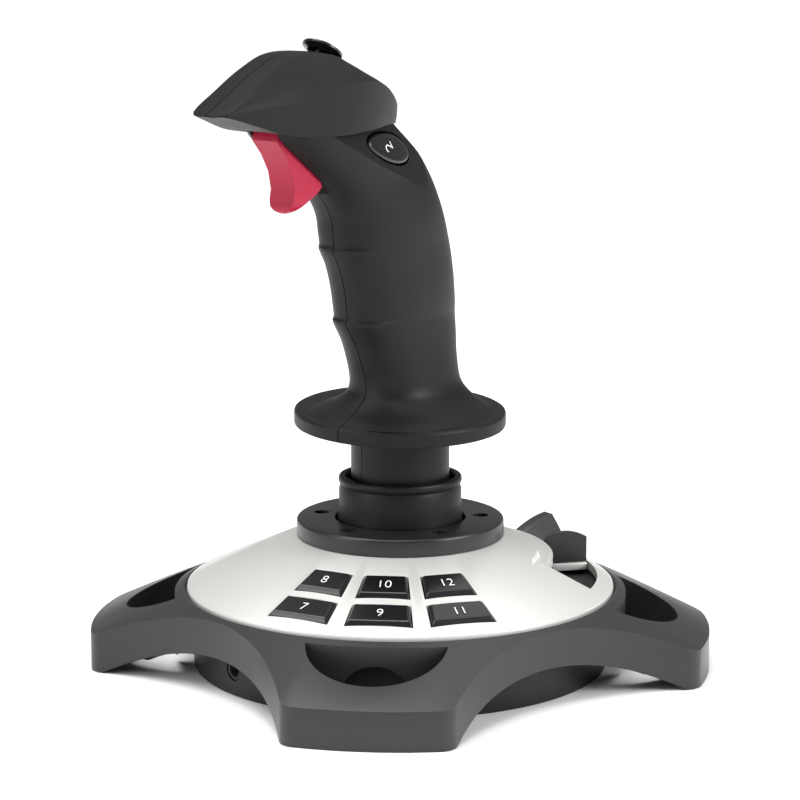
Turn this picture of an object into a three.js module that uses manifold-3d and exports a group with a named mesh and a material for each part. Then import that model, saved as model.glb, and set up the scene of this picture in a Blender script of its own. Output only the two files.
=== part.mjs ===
// A twist-grip flight joystick: a four-legged base with a conical cover, six keys and a throttle lever,
// a gimballed stick, and a handle with a trigger, a thumb button, a hat switch and four top buttons.
// Millimetres, +Z up. +Y is the user's forward and the stick's axis is x = y = 0; the table is z = 0.
import * as THREE from "three";
import { mergeVertices } from "three/addons/utils/BufferGeometryUtils.js";
import Module from "manifold-3d";

const wasm = await Module();
wasm.setup();

// ---- driving sizes ------------------------------------------------------------------------------
const GAP = 0.3; // between neighbours that touch
const RUN = 0.5; // between neighbours that move

const FOOT_REACH = 102.4; // stick axis to the end face of a leg
const FOOT_CORNER = 6;
const WAIST = 74; // stick axis to the frame's side, halfway between two legs
const SIDE_RADIUS = 99; // of the hollow side between two legs
const COVER_RADIUS = 70.5;
const COVER_EDGE_Z = 27.2; // top of the cover at its rim
const COVER_SLOPE = 0.446;
const COVER_WALL = 2.2;
const FRAME_SLOPE = 0.434;
const FRAME_SINK = 0.6; // the frame's slope starts this far below the cover's rim
const FRAME_WALL = 2.6;
const FRAME_LIFT = 0.3; // the frame's lower edge above the table
const LEDGE_INNER = 67.6;
const LEDGE_THICK = 2.2;
const ARCH_TOP = 13.1; // underside of the frame between two legs
const ARCH_RADIUS = 97;
const WINDOW_RADIUS = 22.3; // half-moon opening in a leg
const WINDOW_ALONG = 69.5;
const WINDOW_INNER = 74.6;
const WINDOW_WALL = 1.6;
const NOTCH_RADIUS = 11.6; // arch in the ring wall, seen through the opening
const NOTCH_Z = 7.1;

const TUB_RADIUS = 68.5;
const TUB_WALL = 2.5;
const TUB_EDGE = 1;
const PAD_ALONG = 96.6;
const PAD_DEPTH = 5.2;
const PAD_WIDTH = 32;
const PAD_HEIGHT = 2.7;
const BALLAST_RADIUS = 52;
const BALLAST_THICK = 4;
const CABLE_RADIUS = 2.4;
const CABLE_Z = 8.8;

const COLLAR_RADIUS = 34.2;
const COLLAR_HEIGHT = 5.6;
const COLLAR_SCREW_AZIMUTHS = [39, 101, 169, 233, 288, 342];
const COLLAR_SCREW_RING = 26.6;
const COLLAR_SCREW_HEAD = 2.2;
const CUFF_RADIUS = 20.2;
const CUFF_TOP = 63.1;
const CUFF_WALL = 2.3;
const NECK_RADIUS = 16.2;
const NECK_WALL = 2.8;
const NECK_TOP = 78.1;
const PIVOT_BELOW_COLLAR_TOP = 1;
const SKIRT_DEPTH = 8; // ball skirt below the pivot

const KEY_SPAN_DEG = 18.8; // each key, seen from above
const KEY_PITCH_DEG = 23.5;
const KEY_ROWS = [
  [43.5, 54],
  [56.8, 66.7],
]; // inner and outer radius of each row
const KEY_LABELS = [
  [8, 10, 12],
  [7, 9, 11],
];
const KEY_RISE = 1.3;
const KEY_TRAVEL = 1.2;
const KEY_GAP = 0.45;

const SLOT_FROM = 212; // throttle slot, seen from above, anticlockwise from +X
const SLOT_TO = 285;
const SLOT_INNER = 50.5;
const SLOT_OUTER = 65.2;
const SLOT_LIP = 1.1;
const SLIDER_FROM = 243.5; // where the lever rests
const SLIDER_TO = 271.5;
const SLIDER_TOP = 29.4;
const SLIDER_THICK = 3.6;

const TWIST_REST_DEG = 12; // the handle points this far to the user's left
const DISC_RADIUS = 34.9;
const DISC_THICK = 5.2;
const DISC_TOP = 84.5;
const DISC_SHIFT = [2.5, -3];
const DISC_DIP_DEG = 2.4;
const DISC_DIP_AZIMUTH = 147; // in the handle's own frame
const GRIP_WALL = 2.2;
const HEAD_WALL = 2.2;
const SPINDLE_RADIUS = 9.6;

const BUTTON_POINT = [-11.9, 20.9, 173.4]; // thumb button
const BUTTON_LONG = 11.8;
const BUTTON_SHORT = 4.9;
const BUTTON_TRAVEL = 1.2;
const TRIGGER_WIDTH = 10;
const HAT_RADIUS = 6.6;
const HAT_TILT_DEG = 33;
const TOP_BUTTON_RADIUS = 3;
const HANDLE_SCREWS = [
  [-4, 106],
  [5, 139],
  [27, 170],
]; // forward and height of each

// ---- derived levels -----------------------------------------------------------------------------
const rad = THREE.MathUtils.degToRad;
const coverZ = (r) => COVER_EDGE_Z + (COVER_RADIUS - r) * COVER_SLOPE;
const frameZ = (r) => COVER_EDGE_Z - FRAME_SINK + (COVER_RADIUS - r) * FRAME_SLOPE;
const COLLAR_BOTTOM = coverZ(COLLAR_RADIUS);
const COLLAR_TOP = COLLAR_BOTTOM + COLLAR_HEIGHT;
const PIVOT_Z = COLLAR_TOP - PIVOT_BELOW_COLLAR_TOP;
const SEAT_Z = COVER_EDGE_Z - COVER_WALL - GAP; // ledge under the cover's rim
const TUB_TOP = SEAT_Z - LEDGE_THICK - GAP;
const LEGS = [45, 135, 225, 315];
const SIDES = [0, 90, 180, 270];

// ---- solids -------------------------------------------------------------------------------------
function toSolid(geometry) {
  const bare = geometry.clone();
  bare.deleteAttribute("normal");
  bare.deleteAttribute("uv");
  const merged = mergeVertices(bare, 1e-4);
  const index = merged.index.array;
  const kept = [];
  for (let i = 0; i < index.length; i += 3) {
    const [a, b, c] = [index[i], index[i + 1], index[i + 2]];
    if (a !== b && b !== c && c !== a) kept.push(a, b, c);
  }
  const build = (triangles) =>
    new wasm.Manifold(
      new wasm.Mesh({
        numProp: 3,
        vertProperties: merged.attributes.position.array,
        triVerts: new Uint32Array(triangles),
      }),
    );
  const made = build(kept);
  return made.volume() < 0 ? build(kept.slice().reverse()) : made;
}

function toGeometry(made) {
  const out = made.simplify(0.03).getMesh();
  const geometry = new THREE.BufferGeometry();
  geometry.setAttribute("position", new THREE.BufferAttribute(new Float32Array(out.vertProperties), 3));
  geometry.setIndex(new THREE.BufferAttribute(new Uint32Array(out.triVerts), 1));
  const faceted = geometry.toNonIndexed();
  faceted.computeVertexNormals();
  return faceted;
}

const add = (...solids) => solids.reduce((sum, next) => sum.add(next));
const cut = (body, ...tools) => tools.reduce((left, tool) => left.subtract(tool), body);

function lathe(points, segments = 48) {
  const profile = points.map(([r, z]) => new THREE.Vector2(r, z));
  profile.push(profile[0].clone());
  return toSolid(new THREE.LatheGeometry(profile, segments).rotateX(Math.PI / 2));
}

function disc(radius, z0, z1, segments = 32) {
  const made = new THREE.CylinderGeometry(radius, radius, z1 - z0, segments).rotateX(Math.PI / 2);
  return toSolid(made.translate(0, 0, (z0 + z1) / 2));
}

function ring(inner, outer, z0, z1, segments = 48) {
  return cut(disc(outer, z0, z1, segments), disc(inner, z0 - 1, z1 + 1, segments));
}

function block(x0, x1, y0, y1, z0, z1) {
  const made = new THREE.BoxGeometry(x1 - x0, y1 - y0, z1 - z0);
  return toSolid(made.translate((x0 + x1) / 2, (y0 + y1) / 2, (z0 + z1) / 2));
}

function prism(shape, z0, z1, curveSegments = 10) {
  const options = { depth: z1 - z0, bevelEnabled: false, curveSegments };
  return toSolid(new THREE.ExtrudeGeometry(shape, options).translate(0, 0, z0));
}

// A closed skin over rings of points, each ring with the same count.
function loft(rings) {
  const count = rings[0].length;
  const position = [];
  const index = [];
  for (const points of rings) for (const p of points) position.push(p[0], p[1], p[2]);
  for (let i = 0; i + 1 < rings.length; i++) {
    for (let j = 0; j < count; j++) {
      const [a, b] = [i * count + j, i * count + ((j + 1) % count)];
      index.push(a, b, b + count, a, b + count, a + count);
    }
  }
  for (const [start, turn] of [[0, 1], [(rings.length - 1) * count, -1]]) {
    const middle = position.length / 3;
    const sum = [0, 0, 0];
    for (let j = 0; j < count; j++) for (let k = 0; k < 3; k++) sum[k] += position[(start + j) * 3 + k] / count;
    position.push(...sum);
    for (let j = 0; j < count; j++) {
      const [a, b] = [start + j, start + ((j + 1) % count)];
      if (turn > 0) index.push(middle, b, a);
      else index.push(middle, a, b);
    }
  }
  const geometry = new THREE.BufferGeometry();
  geometry.setAttribute("position", new THREE.Float32BufferAttribute(position, 3));
  geometry.setIndex(index);
  return toSolid(geometry);
}

function placed(made, matrix) {
  return made.transform(matrix.elements);
}

const turned = (made, degrees) => placed(made, new THREE.Matrix4().makeRotationZ(rad(degrees)));
const moved = (made, x, y, z) => placed(made, new THREE.Matrix4().makeTranslation(x, y, z));

// Puts a solid made about +Z at a point, with +Z along a direction and its own +X kept near a given one.
function aimed(made, point, direction, sideways = [1, 0, 0]) {
  const z = new THREE.Vector3(...direction).normalize();
  const x = new THREE.Vector3(...sideways);
  x.addScaledVector(z, -x.dot(z)).normalize();
  const y = new THREE.Vector3().crossVectors(z, x);
  const matrix = new THREE.Matrix4().makeBasis(x, y, z).setPosition(...point);
  return placed(made, matrix);
}

// The biggest of the pieces a cut leaves.
function largest(made) {
  const pieces = made.decompose();
  return pieces.reduce((best, piece) => (piece.volume() > best.volume() ? piece : best));
}

// ---- materials and nodes ------------------------------------------------------------------------
const finish = (color, roughness, metalness = 0) => ({ color, roughness, metalness });
const FRAME_PLASTIC = finish(0x3a3b3d, 0.45);
const GRIP_PLASTIC = finish(0x242425, 0.55);
const DARK_PLASTIC = finish(0x1b1b1c, 0.5);
const SILVER_PAINT = finish(0xcfd0cb, 0.34, 0.2);
const KEY_PLASTIC = finish(0x151517, 0.3);
const CRIMSON = finish(0xbe1f42, 0.35);
const RUBBER = finish(0x101012, 0.8);
const STEEL = finish(0x8d9096, 0.3, 1);
const BOARD = finish(0x14532d, 0.5);
const ACETAL = finish(0xd8d6cc, 0.45);

const part = new THREE.Group();

function node(name, made, look, group = part) {
  const mesh = new THREE.Mesh(toGeometry(made), new THREE.MeshStandardMaterial(look));
  mesh.name = name;
  group.add(mesh);
}

// ---- base frame ---------------------------------------------------------------------------------
function onLeg(leg, along, across) {
  const [c, s] = [Math.cos(rad(leg)), Math.sin(rad(leg))];
  return [along * c - across * s, along * s + across * c];
}

// A block laid along a leg.
function legBlock(leg, along0, along1, across, z0, z1) {
  return turned(block(along0, along1, -across, across, z0, z1), leg);
}

// The frame seen from above, drawn in from its edge by inset: hollow sides, rounded corners, curved leg ends.
function framePlan(inset) {
  const far = WAIST + SIDE_RADIUS;
  const [reach, near] = [FOOT_REACH - FOOT_CORNER, SIDE_RADIUS + FOOT_CORNER];
  const swing = Math.acos((reach * reach + far * far - near * near) / (2 * reach * far));
  const turn = Math.atan2(reach * Math.sin(swing), far - reach * Math.cos(swing));
  const corner = FOOT_CORNER - inset;
  const shape = new THREE.Shape();
  for (const degrees of SIDES) {
    const side = rad(degrees);
    const next = side + Math.PI / 2;
    const spot = (angle, distance) => [distance * Math.cos(angle), distance * Math.sin(angle)];
    shape.absarc(...spot(side, far), SIDE_RADIUS + inset, side + Math.PI + turn, side + Math.PI - turn, true);
    shape.absarc(...spot(side + swing, reach), corner, side - turn, side + swing, false);
    shape.absarc(0, 0, FOOT_REACH - inset, side + swing, next - swing, false);
    shape.absarc(...spot(next - swing, reach), corner, next - swing, next + turn, false);
  }
  return shape;
}

function slopeUnder(drop, radius) {
  return lathe([
    [0, -1], [radius, -1], [radius, frameZ(radius) - drop], [30, frameZ(30) - drop], [0, frameZ(30) - drop],
  ], 72);
}

function archTools() {
  const drum = toSolid(new THREE.CylinderGeometry(ARCH_RADIUS, ARCH_RADIUS, 260, 60));
  const low = moved(drum, 0, 0, ARCH_TOP - ARCH_RADIUS);
  return [low, turned(low, 90)];
}

const RING_OUTER = WINDOW_INNER;
const RING_INNER = WAIST - FRAME_WALL;

function legWindow(leg, grow, z0, z1) {
  return moved(disc(WINDOW_RADIUS + grow, z0, z1, 36), ...onLeg(leg, WINDOW_ALONG, 0), 0);
}

function baseFrame() {
  const outer = prism(framePlan(0), FRAME_LIFT, 60, 6).intersect(slopeUnder(0, 120));
  const inside = prism(framePlan(FRAME_WALL), -1, 60, 6).intersect(slopeUnder(FRAME_WALL + 0.2, 120));
  const core = disc(RING_OUTER, -2, 60, 72);
  const wells = LEGS.map((leg) => cut(legWindow(leg, WINDOW_WALL, PAD_HEIGHT + GAP, 60), core));
  const floors = LEGS.map((leg) => {
    const from = WINDOW_ALONG + WINDOW_RADIUS + 0.6;
    return legBlock(leg, from, FOOT_REACH - 1, PAD_WIDTH / 2 + 2, PAD_HEIGHT + GAP, PAD_HEIGHT + GAP + 2);
  });
  const hollow = cut(inside, core, ...wells, ...floors);
  const bore = disc(RING_INNER, -2, SEAT_Z - LEDGE_THICK, 72);
  const seat = disc(COVER_RADIUS + RUN, SEAT_Z, 60, 72);
  const mouth = disc(LEDGE_INNER, -2, 60, 72);
  const pockets = LEGS.map((leg) =>
    legBlock(leg, PAD_ALONG - PAD_DEPTH / 2 - GAP, PAD_ALONG + PAD_DEPTH / 2 + GAP, PAD_WIDTH / 2 + GAP, -1, PAD_HEIGHT + GAP));
  const windows = LEGS.map((leg) => cut(legWindow(leg, 0, -2, 60), core));
  const notches = LEGS.map((leg) => {
    const out = [Math.cos(rad(leg)), Math.sin(rad(leg)), 0];
    return aimed(disc(NOTCH_RADIUS, RING_INNER - 3, RING_OUTER + 2, 32), [0, 0, NOTCH_Z], out, [0, 0, 1]);
  });
  const body = cut(outer, hollow, bore, seat, mouth, ...pockets, ...windows, ...notches, ...archTools());
  return largest(body);
}

// ---- tub, pads, ballast -------------------------------------------------------------------------
const BALLAST_Z = TUB_WALL + GAP;
const POST_FOOT_Z = BALLAST_Z + BALLAST_THICK + GAP;

function bottomHousing() {
  const outer = lathe([
    [0, 0], [TUB_RADIUS - TUB_EDGE, 0], [TUB_RADIUS, TUB_EDGE], [TUB_RADIUS, TUB_TOP], [0, TUB_TOP],
  ], 96);
  const room = disc(TUB_RADIUS - TUB_WALL, TUB_WALL, 60, 96);
  const port = aimed(disc(CABLE_RADIUS + 1.3, TUB_RADIUS - 10, TUB_RADIUS + 5, 24), [0, 0, CABLE_Z], [0, 1, 0]);
  return cut(outer, room, port);
}

function cableGrommet() {
  const inner = TUB_RADIUS - TUB_WALL - 2;
  const collar = TUB_RADIUS - TUB_WALL - 0.7;
  const outer = TUB_RADIUS - 0.4;
  const body = lathe([
    [CABLE_RADIUS, inner], [CABLE_RADIUS + 2.6, inner], [CABLE_RADIUS + 2.6, collar], [CABLE_RADIUS + 1, collar],
    [CABLE_RADIUS + 1, outer], [CABLE_RADIUS, outer],
  ], 24);
  return aimed(body, [0, 0, CABLE_Z], [0, 1, 0]);
}

function footPad(leg) {
  return legBlock(leg, PAD_ALONG - PAD_DEPTH / 2, PAD_ALONG + PAD_DEPTH / 2, PAD_WIDTH / 2, 0, PAD_HEIGHT);
}

function ballastPlate() {
  return ring(9, BALLAST_RADIUS, BALLAST_Z, BALLAST_Z + BALLAST_THICK, 48);
}

function mainBoard() {
  return sector(26, BALLAST_RADIUS - 2, -60, 60, 12)(POST_FOOT_Z, POST_FOOT_Z + 1.6);
}

// ---- cover, collar, keys ------------------------------------------------------------------------
const COVER_HOLE = CUFF_RADIUS + 4.6;
const KEY_SKIRT = 1.4;
const MAT_DROP = -COVER_WALL - KEY_SKIRT - KEY_TRAVEL - GAP;
const MAT_THICK = 1.3;

// A ring sector seen from above, between two radii and two azimuths.
function sector(r0, r1, from, to, steps) {
  const shape = new THREE.Shape();
  shape.absarc(0, 0, r1, rad(from), rad(to), false);
  shape.absarc(0, 0, r0, rad(to), rad(from), true);
  return (z0, z1) => prism(shape, z0, z1, steps);
}

// The cover's own slope, from low to high above it.
function slopeBetween(low, high, inner = 20, outer = 80) {
  return lathe([
    [inner, coverZ(inner) + low], [outer, coverZ(outer) + low],
    [outer, coverZ(outer) + high], [inner, coverZ(inner) + high],
  ], 96);
}

function keyPlan(row, column, inset) {
  const middle = LEGS[1] + (column - 1) * KEY_PITCH_DEG;
  const [r0, r1] = [KEY_ROWS[row][0] + inset, KEY_ROWS[row][1] - inset];
  const half = (r) => rad(KEY_SPAN_DEG / 2) - inset / r;
  const corners = [[r0, -1], [r1, -1], [r1, 1], [r0, 1]];
  return new THREE.Shape(corners.map(([r, side]) => {
    const a = rad(middle) + side * half(r);
    return new THREE.Vector2(r * Math.cos(a), r * Math.sin(a));
  }));
}

function eachKey(make) {
  return KEY_ROWS.flatMap((_, row) => [0, 1, 2].map((column) => make(row, column)));
}

function domeCover() {
  const flat = COLLAR_BOTTOM - GAP;
  const rFlat = COVER_RADIUS - (flat - COVER_EDGE_Z) / COVER_SLOPE;
  const rim = COVER_EDGE_Z - COVER_WALL;
  const body = lathe([
    [COVER_HOLE, flat], [rFlat, flat], [COVER_RADIUS - 0.8, COVER_EDGE_Z + 0.3], [COVER_RADIUS, COVER_EDGE_Z - 0.6],
    [COVER_RADIUS, rim], [COVER_RADIUS - 1.6, rim], [rFlat - 1, flat - COVER_WALL], [COVER_HOLE, flat - COVER_WALL],
  ], 96);
  const windows = eachKey((row, column) => prism(keyPlan(row, column, 0), 10, 60));
  const slot = sector(SLOT_INNER, SLOT_OUTER, SLOT_FROM, SLOT_TO, 20)(10, 60);
  const lip = lathe([
    [SLOT_INNER - 3, coverZ(SLOT_INNER - 3) - 1], [SLOT_INNER, coverZ(SLOT_INNER) - 1],
    [SLOT_INNER, coverZ(SLOT_INNER) + SLOT_LIP - 0.3], [SLOT_INNER - 0.8, coverZ(SLOT_INNER) + SLOT_LIP],
  ], 96);
  const bead = lip.intersect(sector(40, 60, SLOT_FROM, SLOT_TO, 20)(10, 60));
  return cut(add(body, bead), ...windows, slot);
}

function keyCap(row, column) {
  const skirt = prism(keyPlan(row, column, KEY_GAP), 10, 60).intersect(slopeBetween(-COVER_WALL - KEY_SKIRT, 0.4));
  const crown = prism(keyPlan(row, column, KEY_GAP + 0.9), 10, 60).intersect(slopeBetween(0, KEY_RISE));
  return add(skirt, crown);
}

function keySheet(drop, thick) {
  const from = LEGS[1] - 1.6 * KEY_PITCH_DEG;
  const to = LEGS[1] + 1.6 * KEY_PITCH_DEG;
  const plan = sector(KEY_ROWS[0][0] - 2, KEY_ROWS[1][1] - 1.2, from, to, 12)(10, 60);
  return plan.intersect(slopeBetween(drop - thick, drop));
}

const SKIRT_RADIUS = CUFF_RADIUS + 0.4; // ball skirt under the cuff
const COLLAR_BORE = SKIRT_RADIUS + 0.9;

function sphere(radius, segments = 48) {
  return toSolid(new THREE.SphereGeometry(radius, segments, segments / 2).rotateX(Math.PI / 2));
}

function onRing(made, azimuth, radius) {
  return moved(made, radius * Math.cos(rad(azimuth)), radius * Math.sin(rad(azimuth)), 0);
}

const SCREW_WELL = 2.6;

function gimbalCollar() {
  const bevel = 0.8;
  const body = lathe([
    [COLLAR_BORE, COLLAR_BOTTOM], [COLLAR_RADIUS, COLLAR_BOTTOM], [COLLAR_RADIUS, COLLAR_TOP - bevel],
    [COLLAR_RADIUS - bevel, COLLAR_TOP], [COLLAR_BORE, COLLAR_TOP],
  ], 48);
  const well = disc(COLLAR_SCREW_HEAD + GAP, COLLAR_TOP - SCREW_WELL, COLLAR_TOP + 1, 16);
  return cut(body, ...COLLAR_SCREW_AZIMUTHS.map((azimuth) => onRing(well, azimuth, COLLAR_SCREW_RING)));
}

function collarScrew(azimuth) {
  const top = COLLAR_TOP - 0.9;
  const head = disc(COLLAR_SCREW_HEAD, COLLAR_TOP - SCREW_WELL + GAP, top, 16);
  const drive = add(block(-1.5, 1.5, -0.4, 0.4, top - 0.8, top + 1), block(-0.4, 0.4, -1.5, 1.5, top - 0.8, top + 1));
  return onRing(cut(head, drive), azimuth, COLLAR_SCREW_RING);
}

// ---- gimbal, cuff, neck -------------------------------------------------------------------------
const PLATE_Z = PIVOT_Z + 8.5; // the fork's plate, which the neck stands on
const PLATE_THICK = 2.5;
const PIN_RADIUS = 1.5;
const CHEEK_INNER = 6;
const CHEEK_OUTER = 9;
const CHEEK_HALF = 3.5;
const SENSOR_RADIUS = 4.2;
const SPRING_RADIUS = 17.6;
const WIRE_RADIUS = 0.9;

function cuff() {
  const join = PIVOT_Z + Math.sqrt(SKIRT_RADIUS ** 2 - CUFF_RADIUS ** 2);
  const inner = CUFF_RADIUS - CUFF_WALL;
  const wall = lathe([
    [0, join - 0.5], [CUFF_RADIUS - 0.01, join - 0.5], [CUFF_RADIUS, CUFF_TOP - 4], [CUFF_RADIUS - 0.5, CUFF_TOP - 2.8],
    [CUFF_RADIUS + 0.1, CUFF_TOP - 1.2], [CUFF_RADIUS - 0.5, CUFF_TOP], [0, CUFF_TOP],
  ], 40);
  const ball = moved(sphere(SKIRT_RADIUS, 40), 0, 0, PIVOT_Z);
  const skirt = ball.intersect(block(-40, 40, -40, 40, PIVOT_Z - SKIRT_DEPTH, join));
  const room = moved(sphere(SKIRT_RADIUS - CUFF_WALL, 32), 0, 0, PIVOT_Z);
  const cavity = room.intersect(block(-40, 40, -40, 40, 0, PLATE_Z - 2.2));
  const well = disc(inner, PLATE_Z - GAP, CUFF_TOP + 1, 40);
  return cut(add(wall, skirt), cavity, well, disc(inner - 2, PLATE_Z - 4, PLATE_Z + 1, 48));
}

function neck() {
  return ring(NECK_RADIUS - NECK_WALL, NECK_RADIUS, PLATE_Z + PLATE_THICK + GAP, NECK_TOP, 40);
}

// A rod through the pivot along Y, reaching equally to both sides.
function pivotRod(radius, reach) {
  return moved(toSolid(new THREE.CylinderGeometry(radius, radius, 2 * reach, 16)), 0, 0, PIVOT_Z);
}

function gimbalPost() {
  const yoke = cut(
    block(-CHEEK_OUTER, CHEEK_OUTER, -CHEEK_HALF, CHEEK_HALF, PIVOT_Z - 13, PIVOT_Z + CHEEK_HALF),
    block(-CHEEK_INNER, CHEEK_INNER, -9, 9, PIVOT_Z - 9, PIVOT_Z + 9),
    turned(pivotRod(PIN_RADIUS + GAP, 20), 90),
  );
  return add(disc(7, POST_FOOT_Z, PIVOT_Z - 12, 32), disc(22, POST_FOOT_Z, POST_FOOT_Z + 3, 48), yoke);
}

function gimbalCross() {
  const arm = pivotRod(PIN_RADIUS, CHEEK_OUTER);
  return add(arm, turned(arm, 90), moved(sphere(3.4, 16), 0, 0, PIVOT_Z));
}

function stickFork() {
  const cheeks = cut(
    block(-CHEEK_HALF, CHEEK_HALF, -CHEEK_OUTER, CHEEK_OUTER, PIVOT_Z - CHEEK_HALF, PLATE_Z + 1),
    block(-9, 9, -CHEEK_INNER, CHEEK_INNER, PIVOT_Z - 9, PLATE_Z),
    pivotRod(PIN_RADIUS + GAP, 20),
  );
  return add(cheeks, disc(CUFF_RADIUS - CUFF_WALL - GAP, PLATE_Z, PLATE_Z + PLATE_THICK, 48));
}

function tiltSensor(turn) {
  const body = disc(SENSOR_RADIUS, CHEEK_OUTER + GAP, CHEEK_OUTER + 3.6, 20);
  return turned(aimed(body, [0, 0, PIVOT_Z], [0, 1, 0]), turn);
}

class SpringLine extends THREE.Curve {
  constructor(radius, from, to, turns) {
    super();
    Object.assign(this, { radius, from, to, turns });
  }
  getPoint(t, target = new THREE.Vector3()) {
    const a = t * this.turns * 2 * Math.PI;
    return target.set(this.radius * Math.cos(a), this.radius * Math.sin(a), this.from + (this.to - this.from) * t);
  }
}

function centringSpring() {
  const shape = new THREE.Shape();
  shape.absarc(0, 0, WIRE_RADIUS, 0, 2 * Math.PI, false);
  const bottom = POST_FOOT_Z + 3 + GAP + WIRE_RADIUS;
  const top = PIVOT_Z - SKIRT_DEPTH - GAP - WIRE_RADIUS;
  const extrudePath = new SpringLine(SPRING_RADIUS, bottom, top, 5);
  return toSolid(new THREE.ExtrudeGeometry(shape, { steps: 60, extrudePath, curveSegments: 3, bevelEnabled: false }));
}

// ---- throttle -----------------------------------------------------------------------------------
const TRACK_FLOOR = SLIDER_TOP - SLIDER_THICK - GAP;
const TRACK_THICK = 1.6;

function throttleTrack() {
  const from = SLOT_FROM - 3;
  const to = SLOT_TO + 3;
  const under = slopeBetween(-40, -COVER_WALL - 1);
  const bottom = TRACK_FLOOR - TRACK_THICK;
  const outer = sector(SLOT_INNER - 1.2, SLOT_OUTER + 1.2, from, to, 20)(bottom, 60).intersect(under);
  return cut(outer, sector(SLOT_INNER, SLOT_OUTER, SLOT_FROM - 1.5, SLOT_TO + 1.5, 20)(TRACK_FLOOR, 60));
}

function throttleSensor() {
  const top = TRACK_FLOOR - TRACK_THICK - GAP;
  return onRing(disc(5, top - 5, top, 24), (SLOT_FROM + SLOT_TO) / 2, (SLOT_INNER + SLOT_OUTER) / 2);
}

function throttleSlider() {
  const plan = sector(SLOT_INNER + RUN, SLOT_OUTER - RUN, SLIDER_FROM, SLIDER_TO, 10);
  return plan(SLIDER_TOP - SLIDER_THICK, SLIDER_TOP);
}

// Radial cross-sections of the lever from its near end to its far one: a level fin, a valley, a fin that leans in.
// Each holds its share of the span and the height at its inner edge, its middle and its outer edge over the slider.
const LEVER_SECTIONS = [
  [0.05, 8.9, 10.5, 8.5], [0.17, 8.6, 10.2, 8.3], [0.26, 5.7, 6.7, 5.5], [0.38, 3.3, 3.9, 3.1],
  [0.5, 2.5, 3.2, 2.6], [0.62, 3.1, 4.3, 4.3], [0.72, 4.2, 6.3, 7.5], [0.84, 6.3, 9.3, 11.1], [0.97, 6.7, 9.7, 11.2],
];

function throttleGrip() {
  const [inner, outer] = [SLOT_INNER + RUN, SLOT_OUTER - RUN];
  const base = SLIDER_TOP + GAP;
  const span = SLIDER_TO - SLIDER_FROM;
  const rings = LEVER_SECTIONS.map(([t, low, middle, high]) => {
    const a = rad(SLIDER_FROM + t * span);
    const spot = (r, rise) => [r * Math.cos(a), r * Math.sin(a), base + rise];
    return [
      spot(inner, 0), spot(outer, 0), spot(outer, high), spot(outer - 3.4, (high + middle) / 2 + 0.3),
      spot((inner + outer) / 2, middle), spot(inner + 3.4, (low + middle) / 2 + 0.3), spot(inner, low),
    ];
  });
  return loft(rings);
}

// ---- handle, in its own frame: +Y is where it points --------------------------------------------
// Height, front, back and half width of the grip at its stations.
const GRIP_STATIONS = [
  [84.5, 30, -31, 28], [86, 27, -29, 25], [88, 22.5, -27, 20.5], [91, 18.6, -24.5, 17], [94, 17.6, -22.8, 15.5],
  [98, 18.1, -21.9, 15], [104, 20.5, -21.6, 14.5], [110, 23.4, -21.8, 14.3], [116.2, 27.7, -21.7, 14.2],
  [118, 27, -21.5, 14.4], [121, 27.2, -21.2, 14.7], [128, 28.4, -20.3, 15], [135, 30.8, -19.2, 15],
  [140.4, 33.9, -17.8, 15.2], [142.4, 33.5, -17, 15.3], [146, 33.9, -15.6, 15.6], [151, 34.6, -13.5, 15.7],
  [156, 37.5, -11.3, 15.5], [160, 41.3, -9.4, 15.2], [164, 46.5, -7, 15], [170, 54.5, -2, 15.5],
  [176, 62.5, 5.5, 16], [180, 67, 10.5, 16.4], [184, 68.5, 13.5, 15],
];
const GRIP_POINTS = 28;
const GRIP_SQUARE = 2.3;

function dipAt(x, y) {
  const a = rad(DISC_DIP_AZIMUTH);
  return -(x * Math.cos(a) + y * Math.sin(a)) * Math.tan(rad(DISC_DIP_DEG));
}

function gripRing([z, front, back, half], inset) {
  const centre = (front + back) / 2;
  const long = (front - back) / 2 - inset;
  const wide = half - inset;
  const fade = THREE.MathUtils.clamp((94 - z) / 9.5, 0, 1);
  const points = [];
  for (let i = 0; i < GRIP_POINTS; i++) {
    const a = (i / GRIP_POINTS) * 2 * Math.PI;
    const [c, s] = [Math.cos(a), Math.sin(a)];
    const x = wide * Math.sign(c) * Math.abs(c) ** (2 / GRIP_SQUARE);
    const y = centre + long * Math.sign(s) * Math.abs(s) ** (2 / GRIP_SQUARE);
    points.push([x, y, z + fade * dipAt(x, y)]);
  }
  return points;
}

function discRing(radius, z) {
  const points = [];
  for (let i = 0; i < GRIP_POINTS; i++) {
    const a = (i / GRIP_POINTS) * 2 * Math.PI;
    const [x, y] = [DISC_SHIFT[0] + radius * Math.cos(a), DISC_SHIFT[1] + radius * Math.sin(a)];
    points.push([x, y, z + dipAt(x, y)]);
  }
  return points;
}

function handleBody() {
  const bottom = DISC_TOP - DISC_THICK;
  const plate = [
    discRing(DISC_RADIUS - 0.5, bottom), discRing(DISC_RADIUS, bottom + 0.6), discRing(DISC_RADIUS, DISC_TOP - 0.8),
    discRing(DISC_RADIUS - 0.7, DISC_TOP - 0.2),
  ];
  return loft([...plate, ...GRIP_STATIONS.map((row) => gripRing(row, 0))]);
}

function handleRoom() {
  const shape = GRIP_STATIONS.map((row) => gripRing(row, GRIP_WALL));
  return loft([gripRing([DISC_TOP - 1.6, 30, -31, 28], GRIP_WALL), ...shape.slice(1)]);
}

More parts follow.
